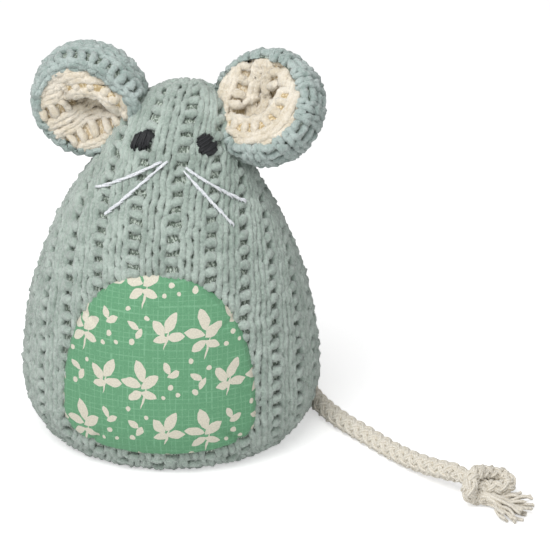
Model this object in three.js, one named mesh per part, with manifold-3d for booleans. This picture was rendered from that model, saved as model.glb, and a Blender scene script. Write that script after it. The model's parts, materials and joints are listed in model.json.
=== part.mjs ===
// Catnip mouse: a stuffed cat toy. A knitted pear-shaped bag with a printed cotton belly, two cupped ears,
// an embroidered face and a knotted rope tail, filled with fibre and a core of dried catnip.
// Millimetres, +Z up. The mouse sits on z = 0 with the middle of its base at the origin, and faces -Y.

import * as THREE from "three";
import { mergeVertices } from "three/addons/utils/BufferGeometryUtils.js";
import Module from "manifold-3d";

const wasm = await Module();
wasm.setup();

// Body outline: half widths and the heights they are found at
const BASE_RADIUS = 31;
const HEM_RADIUS = 36;
const HEM_HEIGHT = 4.2;
const HIP_RADIUS = 39.4;
const HIP_HEIGHT = 13;
const BELLY_RADIUS = 39.2;
const BELLY_HEIGHT = 25;
const CHEST_RADIUS = 36.2;
const CHEST_HEIGHT = 42;
const SHOULDER_RADIUS = 29.6;
const SHOULDER_HEIGHT = 60;
const CHEEK_RADIUS = 20.6;
const CHEEK_HEIGHT = 76;
const BROW_RADIUS = 14.6;
const BROW_HEIGHT = 88;
const CROWN_RADIUS = 8.4;
const CROWN_DROP = 2.6;
const BODY_HEIGHT = 97.4;
const DEPTH_RATIO = 0.92;
const HEAD_LEAN_SIDE = 4.5;
const HEAD_LEAN_BACK = 3;
const LEAN_START = 60;

// Cloth and seams
const KNIT_THICKNESS = 2.6;
const RIB_SPACING = 9.9;
const LADDER_DEPTH = 1.2;
const LADDER_OFFSET = 3.8;
const PATCH_THICKNESS = 0.8;
const PATCH_SINK = 0.5;
const SEAM_GAP = 0.3;

// Belly patch outline, seen from the front
const PATCH_HALF_WIDTH = 26;
const PATCH_WAIST_HEIGHT = 18;
const PATCH_BOTTOM = 6.4;
const PATCH_TOP = 56.2;

// Catnip core, poured in from the base before it is closed
const CATNIP_RADIUS = 9;
const CATNIP_TOP = 46;

// Ears: knitted bowls sewn to the sides of the head along one line
const EAR_RADIUS = 15.6;
const EAR_BACK_DEPTH = 11;
const EAR_FRONT_DEPTH = 6;
const EAR_MOUTH_TAPER = 0.8;
const EAR_KNIT_THICKNESS = 2.4;
const EAR_LINING_THICKNESS = 2.2;
const EAR_FLOP_FORWARD = 25;
const EAR_FLOP_BACK = 30;
const EAR_LEFT_ROOT_HEIGHT = 87.25;
const EAR_LEFT_SINK = 6.5;
const EAR_RIGHT_ROOT_HEIGHT = 86.25;
const EAR_RIGHT_SINK = 6;
const EARS = [
  {
    side: "left",
    sign: -1,
    rootHeight: EAR_LEFT_ROOT_HEIGHT,
    rootTurn: -5,
    sink: EAR_LEFT_SINK,
    mouthTurn: -5,
    mouthLift: -6,
  },
  {
    side: "right",
    sign: 1,
    rootHeight: EAR_RIGHT_ROOT_HEIGHT,
    rootTurn: 0,
    sink: EAR_RIGHT_SINK,
    mouthTurn: -26,
    mouthLift: 36,
  },
];

// Embroidered face, placed by its front view
const STITCH_THICKNESS = 0.8;
const EYES = [
  { side: "left", x: -5.3, z: 86, halfWidth: 2.7, halfHeight: 2.1, tilt: 20 },
  { side: "right", x: 11.4, z: 85.6, halfWidth: 2.2, halfHeight: 2.9, tilt: 25 },
];
const WHISKER_RADIUS = 0.55;
const WHISKERS = [
  { name: "whisker_left_upper", from: [1.4, 82.4], to: [-17.3, 72.6] },
  { name: "whisker_left_lower", from: [1.8, 80.9], to: [-14, 67.9] },
  { name: "whisker_right_upper", from: [5.6, 80.8], to: [21, 69.9] },
  { name: "whisker_right_lower", from: [5.7, 78.9], to: [18.5, 65.6] },
];

// Rope tail: sewn into the base seam at the back, lying on the table round the right side
const ROPE_RADIUS = 2.6;
const TAIL_ROOT_HEIGHT = 5;
const TAIL_ANCHOR_DEPTH = 9;
const TAIL_STOPPER_RADIUS = 4;
const TAIL_ROUTE = [
  [0, 44.8, 4.2],
  [2, 52.2, 3.2],
  [7.3, 57.5, 2.7],
  [14.5, 59.4, 2.7],
  [21.7, 57.4, 2.7],
  [27.1, 52.2, 2.7],
  [29.6, 43.6, 2.7],
  [31.3, 35, 2.7],
  [32.9, 25.8, 2.7],
  [35.4, 16.5, 2.7],
  [39.6, 7, 2.7],
  [45.8, -2, 2.7],
  [53.9, -11, 2.7],
  [62, -19.8, 2.7],
  [69.8, -27.9, 3.9],
  [77.9, -35.3, 6],
];
const KNOT_ROPE_RADIUS = 2.2;
// The knot's route from the rope's end: along the rope, across it (away from the front) and up from the table
const KNOT_ROUTE = [
  [0, 0, 6.1],
  [2.4, 0.3, 5.7],
  [4.6, 0.5, 5.2],
  [6.8, 2.6, 4.4],
  [8.8, 5.7, 4.2],
  [9, 7.3, 4.3],
  [7.9, 8.6, 4.6],
  [6.3, 8.8, 5],
  [5, 7.7, 5.6],
  [3.8, 3.5, 7.3],
  [4.2, -0.2, 8.4],
  [5.1, -2.7, 6.9],
  [5.2, -3.1, 4.4],
  [4.9, -1.3, 2.5],
  [6.4, 0.5, 2.4],
  [7.9, 1.1, 2.5],
];
const FRAY_LENGTH = 11;
const FRAY_SPREAD = 90;
const FRAY_STRAND_RADIUS = 0.8;
const FRAY_STRANDS = 9;

// How finely round forms are divided
const BODY_SIDES = 32;
const STEPS_PER_SPAN = 2;
const COLUMNS_PER_RIB = 4;
const EAR_SIDES = 22;
const EAR_STEPS = 6;
const ROPE_SIDES = 8;
const THREAD_SIDES = 6;

const degrees = THREE.MathUtils.degToRad;

// Solids and geometries

function solidOf(geometry) {
  const bare = geometry.clone();
  bare.deleteAttribute("normal");
  bare.deleteAttribute("uv");
  const merged = mergeVertices(bare, 1e-4);
  const triangles = [];
  for (let i = 0; i < merged.index.count; i += 3) {
    const corners = [merged.index.getX(i), merged.index.getX(i + 1), merged.index.getX(i + 2)];
    if (new Set(corners).size === 3) triangles.push(...corners);
  }
  return new wasm.Manifold(
    new wasm.Mesh({
      numProp: 3,
      vertProperties: new Float32Array(merged.attributes.position.array),
      triVerts: new Uint32Array(triangles),
    }),
  );
}

function geometryOf(solid) {
  const mesh = solid.getMesh();
  const geometry = new THREE.BufferGeometry();
  geometry.setAttribute("position", new THREE.BufferAttribute(mesh.vertProperties, 3));
  geometry.setIndex(new THREE.BufferAttribute(mesh.triVerts, 1));
  geometry.computeVertexNormals();
  return geometry;
}

function unionOf(solids) {
  return solids.reduce((whole, solid) => whole.add(solid));
}

// A block that reaches well past the mouse on every side that is left open.
const REACH = 4 * BODY_HEIGHT;

function block({ x = [-REACH, REACH], y = [-REACH, REACH], z = [-REACH, REACH] }) {
  const geometry = new THREE.BoxGeometry(x[1] - x[0], y[1] - y[0], z[1] - z[0]);
  geometry.translate((x[0] + x[1]) / 2, (y[0] + y[1]) / 2, (z[0] + z[1]) / 2);
  return solidOf(geometry);
}

// A flat outline drawn in the front view (x, z), made into a prism that reaches forward from the middle.
function frontPrism(shape, curveSegments) {
  const geometry = new THREE.ExtrudeGeometry(shape, { depth: REACH, bevelEnabled: false, curveSegments });
  geometry.rotateX(Math.PI / 2);
  return solidOf(geometry);
}

function circleShape(radius, sides) {
  const points = [];
  for (let i = 0; i < sides; i++) {
    const angle = (2 * Math.PI * i) / sides;
    points.push(new THREE.Vector2(radius * Math.cos(angle), radius * Math.sin(angle)));
  }
  return new THREE.Shape(points);
}

function tube(points, radius, sides, steps) {
  const path = new THREE.CatmullRomCurve3(points);
  const shape = circleShape(radius, sides);
  return new THREE.ExtrudeGeometry(shape, { steps, bevelEnabled: false, extrudePath: path });
}

function ball(radius, center, sides) {
  const geometry = new THREE.SphereGeometry(radius, sides, Math.ceil(sides / 2));
  geometry.translate(center.x, center.y, center.z);
  return solidOf(geometry);
}

// Body surface

// The outline runs from the edge of the flat base to the crown. A mirrored point past each end keeps the base
// flat and the crown round.
const outline = new THREE.SplineCurve(
  [
    [BASE_RADIUS - (HEM_RADIUS - BASE_RADIUS) * 2, 0],
    [BASE_RADIUS, 0],
    [HEM_RADIUS, HEM_HEIGHT],
    [HIP_RADIUS, HIP_HEIGHT],
    [BELLY_RADIUS, BELLY_HEIGHT],
    [CHEST_RADIUS, CHEST_HEIGHT],
    [SHOULDER_RADIUS, SHOULDER_HEIGHT],
    [CHEEK_RADIUS, CHEEK_HEIGHT],
    [BROW_RADIUS, BROW_HEIGHT],
    [CROWN_RADIUS, BODY_HEIGHT - CROWN_DROP],
    [0, BODY_HEIGHT],
    [-CROWN_RADIUS, BODY_HEIGHT - CROWN_DROP],
  ].map(([radius, height]) => new THREE.Vector2(radius, height)),
);
const OUTLINE_SPANS = outline.points.length - 3;

// The outline at a share of the way from base to crown, and its outward normal.
function outlineAt(share) {
  const spans = outline.points.length - 1;
  const place = (1 + share * OUTLINE_SPANS) / spans;
  const point = outline.getPoint(place);
  const along = outline.getTangent(place);
  return { radius: Math.max(point.x, 0), height: point.y, normal: new THREE.Vector2(along.y, -along.x) };
}

function shareAtHeight(height) {
  let low = 0;
  let high = 1;
  for (let i = 0; i < 40; i++) {
    const middle = (low + high) / 2;
    if (outlineAt(middle).height < height) low = middle;
    else high = middle;
  }
  return (low + high) / 2;
}

// The head leans a little to one side and back, more the higher it is.
function leanAt(height) {
  const rise = Math.max(0, (height - LEAN_START) / (BODY_HEIGHT - LEAN_START));
  return { x: HEAD_LEAN_SIDE * rise * rise, y: HEAD_LEAN_BACK * rise * rise };
}

// One level section of the body, drawn in by inset all round.
function section(share, inset) {
  const { radius, height, normal } = outlineAt(share);
  const lean = leanAt(height);
  return {
    x: lean.x,
    y: lean.y,
    z: height - inset * normal.y,
    halfWidth: Math.max(radius - inset * normal.x, 0),
    halfDepth: Math.max(radius * DEPTH_RATIO - inset * normal.x, 0),
    normal,
  };
}

// A closed solid of the body's form. At each share of the outline, ringAt lists the angle and inset of every
// point round it.
function solidOfRings(ringAt, endInset) {
  const rings = OUTLINE_SPANS * STEPS_PER_SPAN;
  const positions = [];
  const index = [];
  const base = section(0, endInset);
  positions.push(base.x, base.y, base.z);
  for (let j = 0; j < rings; j++) {
    for (const { angle, inset } of ringAt(j / rings)) {
      const ring = section(j / rings, inset);
      positions.push(ring.x + ring.halfWidth * Math.cos(angle));
      positions.push(ring.y + ring.halfDepth * Math.sin(angle));
      positions.push(ring.z);
    }
  }
  const crown = section(1, endInset);
  positions.push(crown.x, crown.y, crown.z);
  const last = positions.length / 3 - 1;
  const sides = (last - 1) / rings;
  for (let i = 0; i < sides; i++) {
    const next = (i + 1) % sides;
    index.push(0, 1 + next, 1 + i);
    for (let j = 0; j + 1 < rings; j++) {
      const low = 1 + j * sides;
      const high = low + sides;
      index.push(low + i, low + next, high + next, low + i, high + next, high + i);
    }
    const top = 1 + (rings - 1) * sides;
    index.push(top + i, top + next, last);
  }
  const geometry = new THREE.BufferGeometry();
  geometry.setAttribute("position", new THREE.Float32BufferAttribute(positions, 3));
  geometry.setIndex(index);
  return solidOf(geometry);
}

// The plain form, inset from its outer surface, or outset where inset is negative.
function bodySolid(inset) {
  const ring = [];
  for (let i = 0; i < BODY_SIDES; i++) ring.push({ angle: (2 * Math.PI * i) / BODY_SIDES, inset });
  return solidOfRings(() => ring, inset);
}

// The outer form with the knit's ribs: a sunken ladder runs up between every two of them. The columns of
// points keep their spacing as the head narrows, so the outer ones end at a side seam.
function ribbedSolid() {
  const girthAt = (share) => (outlineAt(share).radius * (1 + DEPTH_RATIO)) / 2;
  const spacing = RIB_SPACING / COLUMNS_PER_RIB;
  const columns = Math.ceil(((Math.PI / 2) * HIP_RADIUS + LADDER_OFFSET) / spacing);
  const ringAt = (share) => {
    const rise = (outlineAt(share).height - HEM_HEIGHT) / (HIP_HEIGHT - HEM_HEIGHT);
    const depth = LADDER_DEPTH * THREE.MathUtils.clamp(rise, 0, 1);
    const ring = [];
    for (const middle of [-Math.PI / 2, Math.PI / 2]) {
      for (let column = -columns; column <= columns; column++) {
        const turn = (LADDER_OFFSET + column * spacing) / girthAt(share);
        const aside = THREE.MathUtils.clamp(turn, -Math.PI / 2, Math.PI / 2);
        const inset = aside === turn && column % COLUMNS_PER_RIB === 0 ? depth : 0;
        ring.push({ angle: middle + aside, inset });
      }
    }
    return ring;
  };
  return solidOfRings(ringAt, 0);
}

// A point on the body at a height and an angle (0 is +X, 90 degrees is +Y), standing off the surface.
function bodyPoint(height, angle, standOff = 0) {
  const place = section(shareAtHeight(height), 0);
  const across = new THREE.Vector2(Math.cos(angle) * place.halfDepth, Math.sin(angle) * place.halfWidth);
  across.normalize();
  const normal = new THREE.Vector3(
    place.normal.x * across.x,
    place.normal.x * across.y,
    place.normal.y,
  );
  const point = new THREE.Vector3(
    place.x + place.halfWidth * Math.cos(angle),
    place.y + place.halfDepth * Math.sin(angle),
    height,
  );
  return { point: point.addScaledVector(normal, standOff), normal };
}

// The point on the front of the body that is seen at (x, z) from straight ahead.
function frontPoint(x, z, standOff) {
  const place = section(shareAtHeight(z), 0);
  return bodyPoint(z, -Math.acos((x - place.x) / place.halfWidth), standOff).point;
}

// Materials

function cloth(color, roughness = 0.95) {
  return new THREE.MeshStandardMaterial({ color, roughness, metalness: 0 });
}

const sageKnit = cloth(0xb4c3b8);
const creamKnit = cloth(0xeee2cb);
const printedCotton = cloth(0x6fa882, 0.85);
const blackThread = cloth(0x1f2022, 0.5);
const whiteThread = cloth(0xf2f4f6, 0.5);
const cottonRope = cloth(0xe6dfcd, 0.9);
const fibreFill = cloth(0xf4f4f0);
const driedHerb = cloth(0x7c8457);

const mouse = new THREE.Group();

function addPiece(name, solid, material, parent = mouse) {
  const mesh = new THREE.Mesh(geometryOf(solid), material);
  mesh.name = name;
  parent.add(mesh);
}

// Belly patch outline

function patchShape(margin) {
  const wide = PATCH_HALF_WIDTH + margin;
  const top = PATCH_TOP + margin;
  const bottom = PATCH_BOTTOM - margin;
  const rise = top - PATCH_WAIST_HEIGHT;
  const drop = PATCH_WAIST_HEIGHT - bottom;
  const shape = new THREE.Shape();
  shape.moveTo(0, bottom);
  shape.bezierCurveTo(wide * 0.84, bottom, wide * 1.02, bottom + drop * 0.22, wide, PATCH_WAIST_HEIGHT);
  shape.bezierCurveTo(wide, PATCH_WAIST_HEIGHT + rise * 0.61, wide * 0.65, top, 0, top);
  shape.bezierCurveTo(-wide * 0.65, top, -wide, PATCH_WAIST_HEIGHT + rise * 0.61, -wide, PATCH_WAIST_HEIGHT);
  shape.bezierCurveTo(-wide * 1.02, bottom + drop * 0.22, -wide * 0.84, bottom, 0, bottom);
  return shape;
}

const PATCH_CURVE_STEPS = 8;
const patchCloth = frontPrism(patchShape(0), PATCH_CURVE_STEPS);
const patchOpening = frontPrism(patchShape(SEAM_GAP), PATCH_CURVE_STEPS);
const patchPadding = frontPrism(patchShape(-SEAM_GAP), PATCH_CURVE_STEPS);

// Tail: an anchor sewn through the back seam, and the free rope that swings at its root

const tailExit = bodyPoint(TAIL_ROOT_HEIGHT, Math.PI / 2).point;
const tailRoot = tailExit.clone().setY(tailExit.y + SEAM_GAP + ROPE_RADIUS);

function anchorSolid(margin) {
  const inner = tailExit.clone().add(new THREE.Vector3(0, -TAIL_ANCHOR_DEPTH, TAIL_STOPPER_RADIUS));
  const outer = tailExit.clone().setY(tailExit.y - SEAM_GAP + margin);
  const middle = inner.clone().lerp(outer, 0.5).setZ(tailExit.z + TAIL_STOPPER_RADIUS * 0.3);
  const stem = solidOf(tube([inner, middle, outer], ROPE_RADIUS + margin, ROPE_SIDES, 6));
  return stem.add(ball(TAIL_STOPPER_RADIUS + margin, inner, ROPE_SIDES + 2));
}

const tailPoints = [tailRoot, ...TAIL_ROUTE.map((place) => new THREE.Vector3(...place))];
const ROPE_STEPS = 30;

function ropeSolid() {
  const rope = solidOf(tube(tailPoints, ROPE_RADIUS, ROPE_SIDES, ROPE_STEPS));
  return rope.add(ball(ROPE_RADIUS, tailRoot, ROPE_SIDES));
}

// The knot and the frayed end lie in the direction that the rope arrives in.
const tailEnd = tailPoints[tailPoints.length - 1];
const tailHeading = tailEnd.clone().sub(tailPoints[tailPoints.length - 2]).setZ(0).normalize();
const tailAcross = new THREE.Vector3(-tailHeading.y, tailHeading.x, 0);

function fromTailEnd([ahead, across, up]) {
  return tailEnd.clone().addScaledVector(tailHeading, ahead).addScaledVector(tailAcross, across).setZ(up);
}

// The knot is swept in short runs that are joined, because it crosses itself.
const KNOT_RUNS = 4;
const KNOT_RUN_STEPS = 7;
const knotStart = KNOT_ROPE_RADIUS + SEAM_GAP;
const knotCurve = new THREE.CatmullRomCurve3(
  KNOT_ROUTE.map(([ahead, across, up]) => fromTailEnd([ahead + knotStart, across, up])),
);

function knotSolid(margin) {
  const radius = KNOT_ROPE_RADIUS + margin;
  const pieces = [];
  for (let run = 0; run < KNOT_RUNS; run++) {
    const points = [];
    for (let i = 0; i <= KNOT_RUN_STEPS; i++) {
      points.push(knotCurve.getPoint((run + i / KNOT_RUN_STEPS) / KNOT_RUNS));
    }
    pieces.push(solidOf(tube(points, radius, ROPE_SIDES, KNOT_RUN_STEPS)));
    pieces.push(ball(radius, points[0], ROPE_SIDES));
  }
  return unionOf(pieces);
}

// The rope's yarns fan out past the knot and lie down on the table.
function fraySolid() {
  const end = knotCurve.getPoint(1);
  const heading = knotCurve.getTangent(1).setZ(0).normalize();
  const root = end.clone().addScaledVector(heading, KNOT_ROPE_RADIUS * 0.5 + SEAM_GAP);
  const core = ball(KNOT_ROPE_RADIUS * 0.8, root, ROPE_SIDES);
  const strands = [];
  for (let i = 0; i < FRAY_STRANDS; i++) {
    const share = i / (FRAY_STRANDS - 1) - 0.5;
    const turn = new THREE.Vector3(heading.x, heading.y, 0);
    turn.applyAxisAngle(new THREE.Vector3(0, 0, 1), degrees(FRAY_SPREAD * share));
    const lift = FRAY_STRAND_RADIUS * (i % 2 === 0 ? 1 : 3) + SEAM_GAP;
    const ahead = root.clone().addScaledVector(heading, FRAY_LENGTH * 0.3);
    const middle = ahead.clone().addScaledVector(turn, FRAY_LENGTH * 0.2);
    const tip = ahead.clone().addScaledVector(turn, FRAY_LENGTH * 0.7);
    const route = [root, middle.setZ((root.z + lift) / 2), tip.setZ(lift)];
    strands.push(solidOf(tube(route, FRAY_STRAND_RADIUS, THREAD_SIDES, 4)));
  }
  return unionOf([core, ...strands]).subtract(knotSolid(SEAM_GAP));
}

// Ears

// One layer of the cup: a round back, a short straight front drawn in a little, and a rounded lip.
// It opens along its own +Y.
function cupLayer(radius, backDepth, thickness) {
  const points = [];
  const wall = (size, depth, steps, forward) => {
    for (let i = 0; i <= steps; i++) {
      const angle = ((forward ? i : steps - i) / steps) * (Math.PI / 2);
      points.push(new THREE.Vector2(size * Math.sin(angle), -depth * Math.cos(angle)));
    }
  };
  const lip = thickness / 2;
  wall(radius, backDepth, EAR_STEPS, true);
  for (let i = 0; i <= 4; i++) {
    const angle = (Math.PI * i) / 4;
    const middle = radius - EAR_MOUTH_TAPER - lip;
    points.push(new THREE.Vector2(middle + lip * Math.cos(angle), EAR_FRONT_DEPTH + lip * Math.sin(angle)));
  }
  wall(radius - thickness, backDepth - thickness, EAR_STEPS, false);
  points[0].x = 0;
  points[points.length - 1].x = 0;
  return new THREE.LatheGeometry(points, EAR_SIDES);
}

// Where an ear is sewn on, the line that it flops about, the middle of its cup and the way its mouth faces.
function earFrame({ sign, rootHeight, rootTurn, sink, mouthTurn, mouthLift }) {
  const angle = sign > 0 ? -degrees(rootTurn) : Math.PI + degrees(rootTurn);
  const { point: root, normal } = bodyPoint(rootHeight, angle);
  const above = bodyPoint(rootHeight + 0.5, angle).point;
  const below = bodyPoint(rootHeight - 0.5, angle).point;
  const axis = above.sub(below).normalize();
  const center = root.clone().addScaledVector(normal, EAR_RADIUS - sink);
  const lift = degrees(mouthLift);
  const turn = degrees(mouthTurn);
  const mouth = new THREE.Vector3(
    Math.sin(turn) * Math.cos(lift),
    -Math.cos(turn) * Math.cos(lift),
    Math.sin(lift),
  );
  return { root, axis, center, mouth };
}

function placedCup(geometry, { center, mouth }) {
  const turn = new THREE.Quaternion().setFromUnitVectors(new THREE.Vector3(0, 1, 0), mouth);
  return geometry.applyQuaternion(turn).translate(center.x, center.y, center.z);
}

// The head with its seam gap, as an ear meets it when it has flopped by an angle.
function headFromEar(head, { root, axis }, angle) {
  const about = new THREE.Matrix4().makeTranslation(root.x, root.y, root.z);
  about.multiply(new THREE.Matrix4().makeRotationAxis(axis, angle));
  about.multiply(new THREE.Matrix4().makeTranslation(-root.x, -root.y, -root.z));
  return head.transform(about.elements);
}

function addEar(ear, head) {
  const place = earFrame(ear);
  const forward = degrees(ear.sign * EAR_FLOP_FORWARD);
  const back = degrees(ear.sign * EAR_FLOP_BACK);
  const clearance = [0, forward, -back].map((angle) => headFromEar(head, place, angle));
  for (const angle of [forward / 2, forward]) {
    for (const eye of EYES) clearance.push(headFromEar(eyeSolid(eye, SEAM_GAP), place, angle));
  }
  const layers = [
    ["back", EAR_RADIUS, EAR_BACK_DEPTH, EAR_KNIT_THICKNESS, sageKnit],
    ["lining", EAR_RADIUS - EAR_KNIT_THICKNESS - SEAM_GAP, EAR_BACK_DEPTH - EAR_KNIT_THICKNESS - SEAM_GAP,
      EAR_LINING_THICKNESS, creamKnit],
  ];
  for (const [layer, radius, depth, thickness, material] of layers) {
    let solid = solidOf(placedCup(cupLayer(radius, depth, thickness), place));
    for (const cut of clearance) solid = solid.subtract(cut);
    addPiece(`ear_${ear.side}_${layer}`, solid, material);
  }
}

// Body

const shell = ribbedSolid().subtract(bodySolid(KNIT_THICKNESS));
const anchor = anchorSolid(0);
const anchorHole = anchorSolid(SEAM_GAP);
const aboveHem = block({ z: [HEM_HEIGHT + SEAM_GAP / 2, REACH] });
const belowHem = block({ z: [-REACH, HEM_HEIGHT - SEAM_GAP / 2] });
const frontHalf = block({ y: [-REACH, -SEAM_GAP / 2] });
const backHalf = block({ y: [SEAM_GAP / 2, REACH] });

addPiece("body_front", shell.intersect(aboveHem).intersect(frontHalf).subtract(patchOpening), sageKnit);
addPiece("body_back", shell.intersect(aboveHem).intersect(backHalf).subtract(anchorHole), sageKnit);
addPiece("base_panel", shell.intersect(belowHem).subtract(anchorHole), sageKnit);

const patchOuter = bodySolid(PATCH_SINK);
const patchInner = bodySolid(PATCH_SINK + PATCH_THICKNESS);
addPiece("belly_patch", patchOuter.subtract(patchInner).intersect(patchCloth), printedCotton);

// The stuffing fills the bag and swells up to the back of the thinner belly patch.
const bagFill = bodySolid(KNIT_THICKNESS + SEAM_GAP);
const bellyFill = bodySolid(PATCH_SINK + PATCH_THICKNESS + SEAM_GAP).intersect(patchPadding);

function catnipSolid(margin) {
  const bottom = KNIT_THICKNESS + SEAM_GAP - 2 * margin;
  const top = CATNIP_TOP + margin;
  const radius = CATNIP_RADIUS + margin;
  const profile = new THREE.Path();
  profile.moveTo(0, bottom);
  profile.lineTo(radius, bottom);
  profile.lineTo(radius, top - radius);
  profile.absarc(0, top - radius, radius, 0, Math.PI / 2);
  return solidOf(new THREE.LatheGeometry(profile.getPoints(6), 20).rotateX(Math.PI / 2));
}

addPiece("stuffing", bagFill.add(bellyFill).subtract(catnipSolid(SEAM_GAP)).subtract(anchorHole), fibreFill);
addPiece("catnip_fill", catnipSolid(0), driedHerb);

// Ears, eyes and whiskers

const EYE_CURVE_STEPS = 9;

// The stitched oval of an eye, down to the middle of the head, grown by a margin.
function eyeSolid({ x, z, halfWidth, halfHeight, tilt }, margin) {
  const shape = new THREE.Shape();
  shape.absellipse(x, z, halfWidth + margin, halfHeight + margin, 0, 2 * Math.PI, false, degrees(tilt));
  return bodySolid(-SEAM_GAP - STITCH_THICKNESS - margin).intersect(frontPrism(shape, EYE_CURVE_STEPS));
}

const headClearance = bodySolid(-SEAM_GAP);
for (const ear of EARS) addEar(ear, headClearance);
for (const eye of EYES) addPiece(`eye_${eye.side}`, eyeSolid(eye, 0).subtract(headClearance), blackThread);

const WHISKER_STEPS = 8;
for (const { name, from, to } of WHISKERS) {
  const points = [];
  for (let i = 0; i <= WHISKER_STEPS; i++) {
    const share = i / WHISKER_STEPS;
    const x = from[0] + (to[0] - from[0]) * share;
    const z = from[1] + (to[1] - from[1]) * share;
    points.push(frontPoint(x, z, SEAM_GAP + WHISKER_RADIUS));
  }
  addPiece(name, solidOf(tube(points, WHISKER_RADIUS, THREAD_SIDES, WHISKER_STEPS)), whiteThread);
}

// Tail

addPiece("tail_anchor", anchor, cottonRope);
addPiece("tail_rope", ropeSolid(), cottonRope);
addPiece("tail_knot", knotSolid(0), cottonRope);
addPiece("tail_fray", fraySolid(), cottonRope);

export default mouse;
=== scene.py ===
"""The catnip mouse, dressed: chenille knit, a printed cotton belly, a stitched face and a braided tail."""

import json
import logging
import random
from dataclasses import dataclass, field
from enum import Enum
from functools import cached_property
from math import atan2, ceil, cos, hypot, pi, radians, sin, sqrt
from typing import Callable, Dict, Iterator, List, Optional, Sequence, Tuple

import bmesh
import bpy
import numpy as np
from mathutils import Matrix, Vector, noise

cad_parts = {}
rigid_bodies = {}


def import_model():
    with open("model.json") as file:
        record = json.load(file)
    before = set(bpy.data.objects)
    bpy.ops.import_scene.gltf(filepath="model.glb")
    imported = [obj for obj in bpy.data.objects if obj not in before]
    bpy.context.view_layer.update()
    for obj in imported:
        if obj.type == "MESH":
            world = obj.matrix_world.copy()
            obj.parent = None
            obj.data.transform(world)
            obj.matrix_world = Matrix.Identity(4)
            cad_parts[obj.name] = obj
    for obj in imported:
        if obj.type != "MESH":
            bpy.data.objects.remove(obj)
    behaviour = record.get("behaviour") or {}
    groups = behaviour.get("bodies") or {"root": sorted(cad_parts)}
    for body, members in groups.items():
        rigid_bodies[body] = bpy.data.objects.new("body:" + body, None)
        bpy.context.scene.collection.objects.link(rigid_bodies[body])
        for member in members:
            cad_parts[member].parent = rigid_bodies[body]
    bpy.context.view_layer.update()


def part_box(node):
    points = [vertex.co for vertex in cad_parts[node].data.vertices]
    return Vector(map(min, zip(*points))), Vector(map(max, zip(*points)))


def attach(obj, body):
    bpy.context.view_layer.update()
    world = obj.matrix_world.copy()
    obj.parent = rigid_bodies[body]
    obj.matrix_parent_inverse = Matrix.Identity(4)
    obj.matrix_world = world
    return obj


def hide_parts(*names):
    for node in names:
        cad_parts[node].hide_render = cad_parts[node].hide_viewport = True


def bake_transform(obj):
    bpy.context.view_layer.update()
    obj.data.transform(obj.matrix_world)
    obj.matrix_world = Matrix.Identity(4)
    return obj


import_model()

LOG = logging.getLogger("catnip_mouse")
MM = 0.001
FULL_TURN = 2 * pi
# A full turn to three decimals, for lumps and phases, which need no more
NEAR_TURN = 6.283

# Picks how the yarns wander, so that two runs agree
NOISE_SEED = 4

# How near each other the points of a sheet are merged, in millimetres
MERGE_DISTANCE = 0.02

# How many samples a curve has between two of its points
CURVE_STEPS = 24

Array = np.ndarray
Two = Tuple[np.ndarray, np.ndarray]
Pair = Tuple[float, float]
Point = Tuple[float, float, float]
Tree = bpy.types.NodeTree
Socket = bpy.types.NodeSocket
Piece = bpy.types.Object
Inputs = Dict[object, object]

# Points for places across, up and off a surface, and points or values for places across and up it
Place = Callable[[Array, Array, Array], Array]
Spread = Callable[[Array, Array], Array]


# Named options


class Slot(Enum):
    """The record's material slots."""

    SAGE_KNIT = "sage_knit"
    EAR_KNIT = "ear_knit"
    CREAM_KNIT = "cream_knit"
    PRINTED_COTTON = "printed_cotton"
    BLACK_THREAD = "black_thread"
    WHITE_THREAD = "white_thread"
    COTTON_ROPE = "cotton_rope"
    FIBRE_FILL = "fibre_fill"
    DRIED_CATNIP = "dried_catnip"


class Side(Enum):
    """Which side of the mouse, as the camera sees it."""

    LEFT = -1
    RIGHT = 1


class Grain(Enum):
    """Which way the ribs of an ear's back run."""

    ROUND = "round the lip"
    SPOKES = "out from the lip"


# Small helpers


def linear(colour: str) -> Tuple[float, float, float, float]:
    """Turn an sRGB hex colour into linear light.

    Args:
        colour: six hex digits.

    Returns:
        Linear red, green, blue and an alpha of 1.
    """
    parts = [int(colour[i : i + 2], 16) / 255 for i in (0, 2, 4)]
    bent = [p / 12.92 if p <= 0.04045 else ((p + 0.055) / 1.055) ** 2.4 for p in parts]
    return (bent[0], bent[1], bent[2], 1.0)


def add_node(tree: Tree, kind: str, inputs: Optional[Inputs] = None, **settings: object) -> bpy.types.Node:
    """Add a node with its settings, values and links.

    Args:
        tree: the tree that it goes into.
        kind: the node's type, without the leading ShaderNode.
        inputs: a value, or a socket to link from, for each named or numbered input.
        settings: the node's own attributes.

    Returns:
        The node.
    """
    node = tree.nodes.new("ShaderNode" + kind)
    for name, value in settings.items():
        setattr(node, name, value)
    for key, value in (inputs or {}).items():
        if isinstance(value, Socket):
            tree.links.new(value, node.inputs[key])
        else:
            node.inputs[key].default_value = value
    return node


def smooth(values: Array) -> Array:
    """Ease values from 0 to 1."""
    eased = np.clip(values, 0, 1)
    return eased * eased * (3 - 2 * eased)


def unit(vector: Array) -> Array:
    """Scale vectors in the last axis to a length of 1."""
    return vector / np.linalg.norm(vector, axis=-1, keepdims=True)


def curve_through(points: Array, steps: int) -> Array:
    """Draw a smooth curve through points, of which the first and the last only steer its ends.

    Args:
        points: the points, one row each.
        steps: how many samples each stretch has.

    Returns:
        The samples, one row each.
    """
    share = np.linspace(0, 1, steps, endpoint=False)[:, None]
    drawn = []
    for before, here, there, after in zip(points, points[1:], points[2:], points[3:]):
        bend = 2 * before - 5 * here + 4 * there - after
        twist = -before + 3 * here - 3 * there + after
        drawn.append(here + 0.5 * share * ((there - before) + share * (bend + share * twist)))
    return np.vstack([*drawn, points[-2]])


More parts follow.
